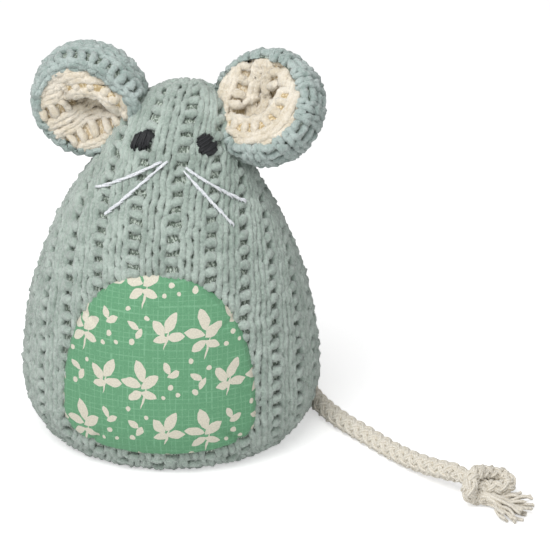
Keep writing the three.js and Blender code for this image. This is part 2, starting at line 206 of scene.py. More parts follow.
def run_along(path: Array) -> Array:
    """How far along a path each of its samples is."""
    return np.concatenate([[0], np.cumsum(np.linalg.norm(np.diff(path, axis=0), axis=1))])


def smooth_route(points: Sequence[Point], step: float) -> Array:
    """Draw one smooth route through points.

    Args:
        points: the points that it goes through.
        step: how far apart its samples are.

    Returns:
        Evenly spaced samples, one row each.
    """
    knots = np.array(points, float)
    knots = np.vstack([2 * knots[0] - knots[1], knots, 2 * knots[-1] - knots[-2]])
    path = curve_through(knots, CURVE_STEPS)
    run = run_along(path)
    even = np.linspace(0, run[-1], max(2, round(run[-1] / step) + 1))
    return np.column_stack([np.interp(even, run, path[:, k]) for k in range(3)])


def route_frames(path: Array) -> Two:
    """Carry two crosswise directions along a path without twist.

    Args:
        path: the samples of the path.

    Returns:
        The two directions across the path, for each sample.
    """
    along = unit(np.gradient(path, axis=0))
    side = np.empty_like(along)
    side[0] = unit(np.cross(along[0], (0.0, 0.0, 1.0)))
    for i in range(1, len(path)):
        side[i] = unit(side[i - 1] - along[i] * np.dot(side[i - 1], along[i]))
    return side, np.cross(along, side)


def runs_of(keep: Array) -> Iterator[slice]:
    """Find the unbroken runs of kept points.

    Args:
        keep: whether each point is kept.

    Yields:
        The slice of each run.
    """
    edges = np.flatnonzero(np.diff(np.concatenate([[0], keep.astype(np.int8), [0]])))
    for first, last in zip(edges[::2], edges[1::2]):
        yield slice(first, last)


def finish_piece(mesh: bpy.types.Mesh, name: str, finish: "Finish") -> Piece:
    """Make a shown object of a mesh.

    Args:
        mesh: the final mesh, in metres.
        name: the piece's name.
        finish: what it is made of.

    Returns:
        The object.
    """
    mesh.name = name
    mesh.shade_smooth()
    mesh.materials.clear()
    mesh.materials.append(finish.material)
    piece = bpy.data.objects.new(name, mesh)
    bpy.context.scene.collection.objects.link(piece)
    LOG.info("%s: %d faces of %s", name, len(mesh.polygons), finish.name)
    return piece


def grid_mesh(columns: int, rows: int, place: Spread) -> bmesh.types.BMesh:
    """Lay a grid over a surface.

    Args:
        columns: how many faces across.
        rows: how many faces up.
        place: gives points in millimetres for shares from 0 to 1 across and up.

    Returns:
        The grid, in metres.
    """
    mesh = bmesh.new()
    bmesh.ops.create_grid(mesh, x_segments=columns, y_segments=rows, size=0.5)
    flat = np.array([vertex.co[:2] for vertex in mesh.verts]) + 0.5
    for vertex, point in zip(mesh.verts, place(flat[:, 0], flat[:, 1]) * MM):
        vertex.co = point
    return mesh


def close_seams(mesh: bmesh.types.BMesh) -> None:
    """Merge the doubles of a grid and turn its faces the same way."""
    bmesh.ops.remove_doubles(mesh, verts=mesh.verts[:], dist=MERGE_DISTANCE * MM)
    bmesh.ops.recalc_face_normals(mesh, faces=mesh.faces[:])


def mesh_data(mesh: bmesh.types.BMesh, name: str) -> bpy.types.Mesh:
    """Turn an edited mesh into mesh data.

    Args:
        mesh: the edited mesh, which is freed.
        name: the data's name.

    Returns:
        The data.
    """
    data = bpy.data.meshes.new(name)
    mesh.to_mesh(data)
    mesh.free()
    return data


def bake(holder: Piece) -> bpy.types.Mesh:
    """Make a plain mesh of a curve, or of a mesh with modifiers.

    Args:
        holder: the object that holds it, which is removed with its data.

    Returns:
        The mesh.
    """
    source = holder.data
    bpy.context.scene.collection.objects.link(holder)
    ready = holder.evaluated_get(bpy.context.evaluated_depsgraph_get())
    mesh = bpy.data.meshes.new_from_object(ready)
    bpy.data.objects.remove(holder)
    bpy.data.batch_remove([source])
    return mesh


def closed_sheet(mesh: bmesh.types.BMesh, thickness: float) -> bpy.types.Mesh:
    """Give a sheet a thickness, on the side away from its normals.

    Args:
        mesh: the sheet.
        thickness: in millimetres.

    Returns:
        The mesh of the closed sheet.
    """
    close_seams(mesh)
    holder = bpy.data.objects.new("sheet", mesh_data(mesh, "sheet"))
    wall = holder.modifiers.new("thickness", "SOLIDIFY")
    wall.thickness = thickness * MM
    return bake(holder)


# Finishes


@dataclass(frozen=True)
class Finish:
    """What a piece is made of.

    Attributes:
        name: the material's plain name.
        slot: the record's slot that it belongs to; it is not used.
        colour: its main colour, sRGB hex.
        second: its second colour, sRGB hex: for pile and thread, painted shade where their bump is low,
            with random mottle in the pile too; for a net, painted shade between its pale specks; for a
            print, its pattern.
    """

    name: str
    slot: Slot
    colour: str
    second: str

    @cached_property
    def material(self) -> bpy.types.Material:
        """The material, made once."""
        made = bpy.data.materials.new(self.name)
        made.use_nodes = True
        tree = made.node_tree
        tree.nodes.clear()
        shader = self.shade(tree)
        add_node(tree, "OutputMaterial", {"Surface": shader.outputs[0]})
        return made

    def shade(self, tree: Tree) -> bpy.types.Node:
        """Build the shader.

        Args:
            tree: the material's nodes.

        Returns:
            The node whose first output is the surface.
        """
        raise NotImplementedError

    def tint(self, tree: Tree, value: Socket, low: float, high: float) -> Socket:
        """Mix the two colours.

        Args:
            tree: the material's nodes.
            value: what they are mixed by.
            low: the value that gives the second colour.
            high: the value that gives the main colour.

        Returns:
            The socket of the mixed colour.
        """
        share = add_node(tree, "MapRange", {"Value": value, "From Min": low, "From Max": high}).outputs[0]
        colours = {"Factor": share, "A": linear(self.second), "B": linear(self.colour)}
        return add_node(tree, "Mix", colours, data_type="RGBA").outputs["Result"]


@dataclass(frozen=True)
class Chenille(Finish):
    """Chenille yarn: a short soft pile, so it is matt, mottled at random, and pale where light grazes it.
    Its colour also darkens where the pile's bump is low, which is painted shade.

    Attributes:
        mottle_size: how wide its paler and darker patches are, in millimetres.
        pile_size: how wide the tufts of its pile are drawn.
        pile_depth: how deep the tufts look.
        sheen: how pale it turns where light grazes it.
    """

    mottle_size: float = 5.0
    pile_size: float = 0.6
    pile_depth: float = 0.65
    sheen: float = 0.6

    def shade(self, tree: Tree) -> bpy.types.Node:
        """Build the mottled pile, with painted shade in its low tufts.

        Args:
            tree: the material's nodes.

        Returns:
            The shader node.
        """
        place = add_node(tree, "TexCoord").outputs["Object"]
        mottle = add_node(
            tree, "TexNoise", {"Vector": place, "Scale": 1 / (self.mottle_size * MM), "Detail": 3.0}
        )
        pile = add_node(
            tree,
            "TexNoise",
            {"Vector": place, "Scale": 1 / (self.pile_size * MM), "Detail": 4.0, "Roughness": 0.65},
        )
        # The pile's noise sets both the bump and the colour: where the bump is low the colour darkens,
        # which is painted shade in the pile's dips; the mottle adds random tone
        mixed = add_node(tree, "Math", {0: mottle.outputs[0], 1: pile.outputs[0]}, operation="ADD")
        colour = self.tint(tree, mixed.outputs[0], 0.78, 1.18)
        bump = add_node(
            tree, "Bump", {"Height": pile.outputs[0], "Strength": 1.0, "Distance": self.pile_depth * MM}
        )
        return add_node(
            tree,
            "BsdfPrincipled",
            {
                "Base Color": colour,
                "Normal": bump.outputs[0],
                "Roughness": 0.95,
                "Specular IOR Level": 0.1,
                "Sheen Weight": self.sheen,
                "Sheen Roughness": 0.5,
            },
        )


@dataclass(frozen=True)
class GroundNet(Finish):
    """The thin core threads behind the pile: pale specks of thread on a dark ground, which is painted shade
    seen between the threads.

    Attributes:
        thread_spacing: how far apart its threads are, in millimetres.
        speck_squash: how much taller its specks are drawn, as the share that heights are scaled by.
    """

    thread_spacing: float = 0.45
    speck_squash: float = 0.45

    def shade(self, tree: Tree) -> bpy.types.Node:
        """Build the speckled net, with painted shade between its threads.

        Args:
            tree: the material's nodes.

        Returns:
            The shader node.
        """
        place = add_node(tree, "TexCoord").outputs["Object"]
        upright = add_node(
            tree, "VectorMath", {0: place, 1: (1, 1, self.speck_squash)}, operation="MULTIPLY"
        )
        specks = add_node(
            tree,
            "TexNoise",
            {"Vector": upright.outputs[0], "Scale": 1 / (self.thread_spacing * MM), "Detail": 1.0},
        )
        # Low noise gives the second colour, which is painted shade seen between the threads; high noise
        # gives the pale threads
        colour = self.tint(tree, specks.outputs[0], 0.47, 0.6)
        return add_node(
            tree, "BsdfPrincipled", {"Base Color": colour, "Roughness": 1.0, "Specular IOR Level": 0.05}
        )


@dataclass(frozen=True)
class SpunThread(Finish):
    """Spun or twisted thread: fine fibres give it streaks and a soft gloss. Its colour darkens where the
    streaks' bump is low, which is painted shade.

    Attributes:
        fibre_size: how wide its streaks are drawn, in millimetres.
        fibre_depth: how deep they look.
        roughness: how matt it is.
        specular: how much it shines.
        fuzz: how pale it turns where light grazes it.
    """

    fibre_size: float = 0.3
    fibre_depth: float = 0.1
    roughness: float = 0.6
    specular: float = 0.3
    fuzz: float = 0.2

    def shade(self, tree: Tree) -> bpy.types.Node:
        """Build the streaked thread.

        Args:
            tree: the material's nodes.

        Returns:
            The shader node.
        """
        place = add_node(tree, "TexCoord").outputs["Object"]
        fibres = add_node(
            tree, "TexNoise", {"Vector": place, "Scale": 1 / (self.fibre_size * MM), "Detail": 3.0}
        )
        # The same noise bumps the fibres and darkens the colour where the bump is low: painted shade in the
        # grooves between fibres
        colour = self.tint(tree, fibres.outputs[0], 0.35, 0.6)
        bump = add_node(
            tree, "Bump", {"Height": fibres.outputs[0], "Strength": 0.5, "Distance": self.fibre_depth * MM}
        )
        return add_node(
            tree,
            "BsdfPrincipled",
            {
                "Base Color": colour,
                "Normal": bump.outputs[0],
                "Roughness": self.roughness,
                "Specular IOR Level": self.specular,
                "Sheen Weight": self.fuzz,
            },
        )


@dataclass(frozen=True)
class LeafPrint(Finish):
    """Woven cotton, printed with loose sprigs of pale leaves and berries over a thin crossed line.

    Its map holds millimetres of cloth. The print repeats in upright blocks, each next column half a block
    lower, and a leaf is the overlap of two circles.

    Attributes:
        line: the colour of the crossed lines.
        block: how wide and high one repeat is.
        leaves: each leaf's middle in the block, the way that it points in degrees, its length and its
            width. A berry is a leaf that is as long as it is wide.
        line_spacing: how far apart the crossed lines are.
        line_stretch: how slowly a line bends along itself, as a share.
        line_breaks: how many times in a millimetre the lines come and go.
        wobble: how far the marks' edges stray.
        wobble_size: how wide the strays are.
        weave_size: how far apart the threads of the weave are.
        weave_depth: how deep they look.
    """

    line: str = "79ac88"
    block: Pair = (17.0, 27.0)
    leaves: Tuple[Tuple[float, float, float, float, float], ...] = (
        (-3.6, 8.6, 108, 6.4, 3.0), (-6.0, 5.2, 168, 5.6, 2.7), (-0.9, 5.8, 38, 5.8, 2.8),
        (-4.9, 1.9, 214, 4.6, 2.3), (-1.2, 2.2, -22, 4.4, 2.2), (-2.6, 1.2, 76, 6.6, 0.6),
        (4.6, -5.2, 62, 6.0, 2.9), (1.3, -6.6, 128, 5.2, 2.6), (5.9, -8.9, 4, 5.0, 2.5),
        (2.0, -9.6, 192, 4.2, 2.1), (3.4, -9.8, 76, 5.6, 0.6), (-5.6, -6.4, 148, 3.6, 1.8),
        (-3.9, -8.4, 62, 3.4, 1.7), (5.4, 7.9, 26, 3.8, 1.9), (3.6, 9.6, 112, 3.4, 1.7),
        (-5.9, -10.6, 0, 1.6, 1.6), (4.6, 4.4, 0, 1.6, 1.6), (6.6, 2.2, 0, 1.2, 1.2),
        (2.7, 1.6, 0, 1.2, 1.2), (-7.0, -2.0, 0, 1.4, 1.4), (-2.0, -4.2, 0, 1.2, 1.2),
    )
    line_spacing: float = 1.6
    line_stretch: float = 0.06
    line_breaks: float = 0.45
    wobble: float = 0.9
    wobble_size: float = 2.5
    weave_size: float = 0.4
    weave_depth: float = 0.15

    def leaf(self, tree: Tree, cell: Socket, mark: Tuple[float, ...]) -> Socket:
        """Draw one leaf in a block.

        Args:
            tree: the material's nodes.
            cell: millimetres from the middle of the block.
            mark: its middle, turn, length and width.

        Returns:
            A socket that is 1 inside the leaf.
        """
        x, y, turn, length, width = mark
        radius = (length**2 + width**2) / (4 * width)
        local = add_node(
            tree,
            "Mapping",
            {"Vector": cell, "Location": (x, y, 0), "Rotation": (0, 0, radians(turn))},
            vector_type="TEXTURE",
        ).outputs[0]
        reach = []
        for sign in (-1, 1):
            centre = (0, sign * (radius - width / 2), 0)
            gap = add_node(tree, "VectorMath", {0: local, 1: centre}, operation="DISTANCE")
            reach.append(gap.outputs["Value"])
        far = add_node(tree, "Math", {0: reach[0], 1: reach[1]}, operation="MAXIMUM")
        inside = add_node(tree, "Math", {0: far.outputs[0], 1: radius}, operation="LESS_THAN")
        return inside.outputs[0]

    def motif(self, tree: Tree, cloth: Socket) -> Socket:
        """Draw the sprigs.

        Args:
            tree: the material's nodes.
            cloth: millimetres of cloth.

        Returns:
            A socket that is 1 where the print is pale.
        """
        width, height = self.block
        stray = add_node(tree, "TexNoise", {"Vector": cloth, "Scale": 1 / self.wobble_size, "Detail": 1.0})
        moved = add_node(
            tree,
            "VectorMath",
            {0: stray.outputs["Color"], 1: (self.wobble, self.wobble, 0)},
            operation="MULTIPLY",
        )
        loose = add_node(tree, "VectorMath", {0: cloth, 1: moved.outputs[0]}, operation="ADD")
        motif = None
        for step in (0, 1):
            shifted = add_node(
                tree,
                "VectorMath",
                {0: loose.outputs[0], 1: (step * width, step * height / 2, 0)},
                operation="ADD",
            )
            high = (width, height / 2, 1)
            low = (-width, -height / 2, -1)
            cell = add_node(
                tree, "VectorMath", {0: shifted.outputs[0], 1: high, 2: low}, operation="WRAP"
            ).outputs[0]
            for leaf in self.leaves:
                mark = self.leaf(tree, cell, leaf)
                if motif is None:
                    motif = mark
                    continue
                both = add_node(tree, "Math", {0: motif, 1: mark}, operation="MAXIMUM")
                motif = both.outputs[0]
        return motif

    def lines(self, tree: Tree, cloth: Socket) -> Socket:
        """Draw the thin crossed lines, which come and go.

        Args:
            tree: the material's nodes.
            cloth: millimetres of cloth.

        Returns:
            A socket that is 1 on a line.
        """
        drawn_lines = []
        for direction, shape in (("X", (1, self.line_stretch, 0)), ("Y", (self.line_stretch, 1, 0))):
            drawn = add_node(tree, "VectorMath", {0: cloth, 1: shape}, operation="MULTIPLY")
            wave = add_node(
                tree,
                "TexWave",
                {
                    "Vector": drawn.outputs[0],
                    "Scale": pi / 10 / self.line_spacing,
                    "Distortion": 7.0,
                    "Detail": 2.0,
                    "Detail Scale": 1.4,
                },
                bands_direction=direction,
            )
            thin = add_node(
                tree, "MapRange", {"Value": wave.outputs["Fac"], "From Min": 0.9, "From Max": 1.0}
            )
            drawn_lines.append(thin.outputs[0])
        crossed = add_node(tree, "Math", dict(enumerate(drawn_lines)), operation="MAXIMUM")
        patches = add_node(tree, "TexNoise", {"Vector": cloth, "Scale": self.line_breaks, "Detail": 2.0})
        broken = add_node(
            tree, "MapRange", {"Value": patches.outputs[0], "From Min": 0.34, "From Max": 0.54}
        )
        shown = add_node(tree, "Math", {0: crossed.outputs[0], 1: broken.outputs[0]}, operation="MULTIPLY")
        return shown.outputs[0]

    def shade(self, tree: Tree) -> bpy.types.Node:
        """Build the printed weave.

        Args:
            tree: the material's nodes.

        Returns:
            The shader node.
        """
        cloth = add_node(tree, "UVMap", uv_map="cloth").outputs[0]
        motif, lines = self.motif(tree, cloth), self.lines(tree, cloth)
        weave = add_node(tree, "TexNoise", {"Vector": cloth, "Scale": 1 / self.weave_size, "Detail": 3.0})
        # The weave's noise also scales the colour: darker on its low threads and paler on its raised ones,
        # which is painted shade and painted light of the weave
        weave_light_and_shade = add_node(
            tree,
            "MapRange",
            {"Value": weave.outputs[0], "From Min": 0.3, "From Max": 0.7, "To Min": 0.88, "To Max": 1.1},
        )
        ground = add_node(
            tree,
            "Mix",
            {"Factor": lines, "A": linear(self.colour), "B": linear(self.line)},
            data_type="RGBA",
        )
        colour = add_node(
            tree,
            "Mix",
            {"Factor": motif, "A": ground.outputs["Result"], "B": linear(self.second)},
            data_type="RGBA",
        )
        print_with_weave_shade = add_node(
            tree, "VectorMath", {0: colour.outputs["Result"], "Scale": weave_light_and_shade.outputs[0]}, operation="SCALE"
        )
        bump = add_node(
            tree, "Bump", {"Height": weave.outputs[0], "Strength": 0.4, "Distance": self.weave_depth * MM}
        )
        return add_node(
            tree,
            "BsdfPrincipled",
            {
                "Base Color": print_with_weave_shade.outputs[0],
                "Normal": bump.outputs[0],
                "Roughness": 0.85,
                "Specular IOR Level": 0.2,
                "Sheen Weight": 0.1,
            },
        )


# Each yarn's second colour is painted shade in the pile's low tufts, mixed with random mottle
SAGE = Chenille("sage chenille yarn", Slot.SAGE_KNIT, "bccac1", "93a399")
EAR_SAGE = Chenille("ear chenille yarn", Slot.EAR_KNIT, "bfcdc9", "98aaa4")
CREAM = Chenille("cream chenille yarn", Slot.CREAM_KNIT, "f0e8d9", "d5c9b2", pile_depth=0.45)
# The nets' second colours are painted shade between their threads. The rolled net is a darker copy of the
# cream net, so both of its colours are painted shade seen through the roll's slots
SAGE_NET = GroundNet("sage ground net", Slot.SAGE_KNIT, "c4cec4", "6f7a70")
EAR_NET = GroundNet("ear ground net", Slot.EAR_KNIT, "c4cec4", "69746a")
CREAM_NET = GroundNet("cream ground net", Slot.CREAM_KNIT, "f6eddb", "cbb998")
SHADED_ROLL_NET = GroundNet("rolled ground net", Slot.CREAM_KNIT, "ddcfb2", "b7a27c")
PRINT = LeafPrint("printed cotton", Slot.PRINTED_COTTON, "669b76", "d4cfbf")
# A thread's second colour is painted shade where its fibre bump is low
BLACK = SpunThread(
    "black embroidery thread", Slot.BLACK_THREAD, "26272a", "121315", roughness=0.5, fuzz=0.04
)
WHITE = SpunThread("white embroidery thread", Slot.WHITE_THREAD, "eef0f3", "ccd1d6", roughness=0.7)
ROPE = SpunThread("cotton rope yarn", Slot.COTTON_ROPE, "e6e1d7", "cfc7b6", roughness=0.9, specular=0.1)
FIBRE = SpunThread("polyester fibre", Slot.FIBRE_FILL, "f4f4f0", "e2e2dc", fibre_size=1.5)
HERB = SpunThread("dried catnip leaf", Slot.DRIED_CATNIP, "8a9160", "59603c", fibre_size=1.2, roughness=1.0)


# Yarn


@dataclass
class Yarn:
    """Strands of round yarn that are one piece.

    Attributes:
        radius: the yarn's radius in millimetres.
        sides: how many sides its round section has, an even number from 6.
        ruffle: how far the pile makes its surface wander, in millimetres.
        lumps: how strong each set of the pile's lumps is, and how many of them a millimetre has.
        strands: each strand's points and swell, one row each.
    """

    radius: float
    sides: int = 8
    ruffle: float = 0.0
    lumps: Tuple[Pair, ...] = ((1.7, 0.75), (1.2, 2.0))
    strands: List[Array] = field(default_factory=list)

    def add(self, points: Array, swell: Array) -> None:
        """Add one strand.

        Args:
            points: the middle of the yarn in millimetres, one row each.
            swell: the yarn's radius there, as a share of the usual one.
        """
        self.strands.append(np.column_stack([points, swell]))

    def join(self, other: "Yarn") -> None:
        """Take in the strands of a yarn that may be thicker or thinner.

        Args:
            other: the yarn.
        """
        share = [1, 1, 1, other.radius / self.radius]
        self.strands.extend(strand * share for strand in other.strands)

    def piece(self, name: str, finish: Finish) -> Piece:
        """Make the strands one piece.

        Args:
            name: the piece's name.
            finish: what the yarn is made of.

        Returns:
            The object.
        """
        curve = bpy.data.curves.new(name, "CURVE")
        curve.dimensions = "3D"
        curve.bevel_depth = self.radius * MM
        curve.bevel_resolution = self.sides // 2 - 2
        curve.use_fill_caps = True
        for strand in self.strands:
            spline = curve.splines.new("POLY")
            spline.points.add(len(strand) - 1)
            places = np.column_stack([strand[:, :3] * MM, np.ones(len(strand))])
            spline.points.foreach_set("co", places.ravel())
            spline.points.foreach_set("radius", strand[:, 3])
        mesh = bake(bpy.data.objects.new(name + "_paths", curve))
        if self.ruffle:
            self.roughen(mesh)
        return finish_piece(mesh, name, finish)

    def roughen(self, mesh: bpy.types.Mesh) -> None:
        """Let the surface wander in and out as a pile does.

        Args:
            mesh: the yarn's mesh.
        """
        for vertex, normal in zip(mesh.vertices, [n.vector.copy() for n in mesh.vertex_normals]):
            at = vertex.co / MM
            amount = sum(strength * noise.noise(at * rate) for strength, rate in self.lumps)
            vertex.co += normal * (amount * self.ruffle * MM)


@dataclass(frozen=True)
class Gauge:
    """How the fabric is knitted, in millimetres: ribs of plain wales with an open ladder between them.

    Attributes:
        course: the height of one row.
        wale: the width of one column of loops.
        ladder: the width of the open ladder.
        wales: how many columns stand between two ladders.
        yarn: the yarn's radius.
        loop_height: how far a loop reaches above and below its row.
        loop_waist: how far a loop's legs draw in.
        loop_pinch: how far a loop's legs stand together, away from the next loop's.
        loop_depth: how far a loop's legs stand proud of its ends.
        loop_swell: how much fatter the yarn is in a loop's legs than usual, and thinner at its ends.
        rung_rise: how far a ladder's rung bulges.
        rung_swell: how much fatter the yarn is there.
        wale_steps: how many points a loop has.
        rung_steps: how many points a rung has.
    """

    course: float = 3.82
    wale: float = 3.6
    ladder: float = 2.7
    wales: int = 2
    yarn: float = 0.88
    loop_height: float = 2.7
    loop_waist: float = 0.5
    loop_pinch: float = 0.1
    loop_depth: float = 0.22
    loop_swell: float = 0.05
    rung_rise: float = 0.35
    rung_swell: float = 1.34
    wale_steps: int = 20
    rung_steps: int = 6

    @property
    def repeat(self) -> float:
        """The width of one rib and one ladder."""
        return self.wales * self.wale + self.ladder

    def row(self, reach: float, ladder_at: float) -> Array:
        """Trace one course.

        Args:
            reach: how far it goes to each side.
            ladder_at: where the middle of one ladder is.

        Returns:
            Place across, place up, lift and swell, one row for each point.
        """
        base = -self.yarn - self.loop_depth
        turn = np.linspace(0, FULL_TURN, self.wale_steps, endpoint=False)
        waist = self.loop_waist * np.sin(2 * turn)
        pinch = self.loop_pinch * np.sin(turn)
        loop = np.column_stack(
            [
                self.wale * turn / FULL_TURN + waist + pinch,
                -self.loop_height * np.cos(turn),
                base - self.loop_depth * np.cos(2 * turn),
                1 - self.loop_swell * np.cos(2 * turn),
            ]
        )
        share = np.linspace(0, 1, self.rung_steps, endpoint=False)
        bulge = 0.7 + 0.3 * np.sin(pi * share) ** 0.5
        rung = np.column_stack(
            [
                self.ladder * share,
                -self.loop_height + 0.2 * bulge,
                base - self.loop_depth + self.rung_rise * bulge,
                1 - self.loop_swell + (self.rung_swell + self.loop_swell - 1) * bulge,
            ]
        )
        pieces = []
        ribs = ceil(reach / self.repeat) + 1
        for rib in range(-ribs, ribs + 1):
            start = ladder_at - self.ladder / 2 + rib * self.repeat
            pieces.append(rung + [start, 0, 0, 0])
            for wale in range(self.wales):
                pieces.append(loop + [start + self.ladder + wale * self.wale, 0, 0, 0])
        whole = np.vstack(pieces)
        return whole[np.abs(whole[:, 0]) <= reach]


@dataclass
class KnitPanel:
    """A piece of knitted fabric on a surface.

    Attributes:
        gauge: how it is knitted.
        reach: how far it goes to each side.
        low: where its lowest row is.
        high: where its highest row is.
        place: gives points for places across, up and off the fabric.
        room: gives how far a place is inside the fabric's edge.
        ladder_at: where the middle of one ladder is.
        seed: picks how the rows wander.
        tuck: how far the yarn goes on past the edge, under what it is sewn to.
        sink: how far it dips there.
        wander: how far its loops stray.
        wander_length: how far apart two loops are that stray each their own way.
        fuller: how much fatter its yarn is at the sides than in the middle, as a share.
        ruffle: how far the pile makes the yarn's surface wander.
    """

    gauge: Gauge
    reach: float
    low: float
    high: float
    place: Place
    room: Spread
    ladder_at: float = 0.0
    seed: int = 1
    tuck: float = 0.8
    sink: float = 1.1
    wander: float = 0.55
    wander_length: float = 4.0
    fuller: float = 0.0
    ruffle: float = 0.3

    def knit(self) -> Yarn:
        """Knit the panel, row by row.

        Returns:
            The panel's yarn.
        """
        yarn = Yarn(self.gauge.yarn, ruffle=self.ruffle)
        row = self.gauge.row(self.reach, self.ladder_at)
        length = self.wander_length
        for count in range(ceil((self.high - self.low) / self.gauge.course) + 1):
            across = row[:, 0].copy()
            up = row[:, 1] + self.low + count * self.gauge.course
            drift = [noise.noise_vector((s / length, m / length, self.seed)) for s, m in zip(across, up)]
            across += np.array([d.x for d in drift]) * self.wander
            up += np.array([d.y for d in drift]) * self.wander
            swell = row[:, 3] * (1 + self.fuller * np.abs(across) / self.reach)
            room = self.room(across, up)
            dip = self.sink * (1 - smooth((room + self.tuck) / (2 * self.tuck + 0.6)))
            points = self.place(across, up, row[:, 2] - dip)
            for run in runs_of(room > -self.tuck):
                if run.stop - run.start > 3:
                    yarn.add(points[run], swell[run])
        return yarn


# The body's form


@dataclass(frozen=True)
class BodyForm:
    """The stuffed body's outer surface, in millimetres: a pear-shaped bag whose head leans a little.

    Turns run from the middle of the front, and grow to the right. Arcs run up the outline from the edge of
    the flat base, and are negative on the base.

    Attributes:
        outline: the half width and height of each point that the outline goes through.
        depth_ratio: the body's depth as a share of its width.
        lean_side: how far the crown leans to the right.
        lean_back: how far it leans back.
        lean_start: the height at which the lean starts.
        hem_height: the height of the seam round the base.
        least_girth: the least mean radius that a level is given.
    """

    outline: Tuple[Pair, ...] = (
        (31.0, 0.0), (36.0, 4.2), (39.4, 13.0), (39.2, 25.0), (36.2, 42.0), (29.6, 60.0),
        (20.6, 76.0), (14.6, 88.0), (8.4, 94.8), (0.0, 97.4),
    )
    depth_ratio: float = 0.92
    lean_side: float = 4.5
    lean_back: float = 3.0
    lean_start: float = 60.0
    hem_height: float = 4.2
    least_girth: float = 0.2

    @cached_property
    def table(self) -> Array:
        """Arc, half width, height and outward normal of close samples of the outline."""
        base, hem, crown = self.outline[0], self.outline[1], self.outline[-2]
        before = (base[0] - 2 * (hem[0] - base[0]), 0.0)
        points = np.array([before, *self.outline, (-crown[0], crown[1])], float)
        path = curve_through(points, steps=40)
        along = unit(np.gradient(path, axis=0))
        rising = np.column_stack([run_along(path), path, along[:, 1], -along[:, 0]])
        inner = np.linspace(0, base[0], 30, endpoint=False)
        level = np.zeros(len(inner))
        under = np.column_stack([inner - base[0], inner, level, level, level - 1])
        return np.vstack([under, rising])

    def at(self, arc: Array) -> Tuple[Array, ...]:
        """Half width, height and outward normal at an arc."""
        return tuple(np.interp(arc, self.table[:, 0], self.table[:, k]) for k in range(1, 5))

    def arc_at(self, height: Array) -> Array:
        """The arc at a height."""
        rising = self.table[self.table[:, 0] >= 0]
        return np.interp(height, rising[:, 2], rising[:, 0])

    @property
    def hem_arc(self) -> float:
        """The arc at the seam round the base."""
        return float(self.arc_at(np.array(self.hem_height)))

    @property
    def crown_arc(self) -> float:
        """The arc at the crown."""
        return float(self.table[-1, 0])

    def lean(self, height: Array) -> Two:
        """How far a level leans to the right and back."""
        top = self.outline[-1][1]
        rise = np.clip((height - self.lean_start) / (top - self.lean_start), 0, None) ** 2
        return self.lean_side * rise, self.lean_back * rise

    def place(self, turn: Array, arc: Array, lift: Array) -> Array:
        """Points off the surface.

        Args:
            turn: how far round from the middle of the front, in radians.
            arc: how far up the outline.
            lift: how far off the surface.

        Returns:
            The points, one row each.
        """
        radius, height, out, rise = self.at(arc)
        side, back = self.lean(height)
        across = unit(np.stack([np.sin(turn) * self.depth_ratio, -np.cos(turn)], axis=-1))
        x = side + radius * np.sin(turn) + across[..., 0] * out * lift
        y = back - radius * self.depth_ratio * np.cos(turn) + across[..., 1] * out * lift
        return np.stack([x, y, height + rise * lift], axis=-1)

    def girth(self, arc: Array) -> Array:
        """The mean radius of a level."""
        return np.maximum(self.at(arc)[0] * (1 + self.depth_ratio) / 2, self.least_girth)

    def front(self, x: Array, z: Array, lift: Array) -> Array:
        """Points off the front that are seen at (x, z) from straight ahead.

        Args:
            x: how far to the right.
            z: the height.
            lift: how far off the surface.

        Returns:
            The points, one row each.
        """
        arc = self.arc_at(z)
        turn = np.arcsin(np.clip((x - self.lean(z)[0]) / self.at(arc)[0], -1, 1))
        return self.place(turn, arc, lift)

    def clearance(self, points: Array) -> Array:
        """How far points are outside the surface, or inside where negative."""
        radius, _, out, _ = self.at(self.arc_at(points[:, 2]))
        side, back = self.lean(points[:, 2])
        reach = np.hypot(points[:, 0] - side, (points[:, 1] - back) / self.depth_ratio)
        return np.maximum((reach - radius) * out, points[:, 2] - self.outline[-1][1])


FORM = BodyForm()


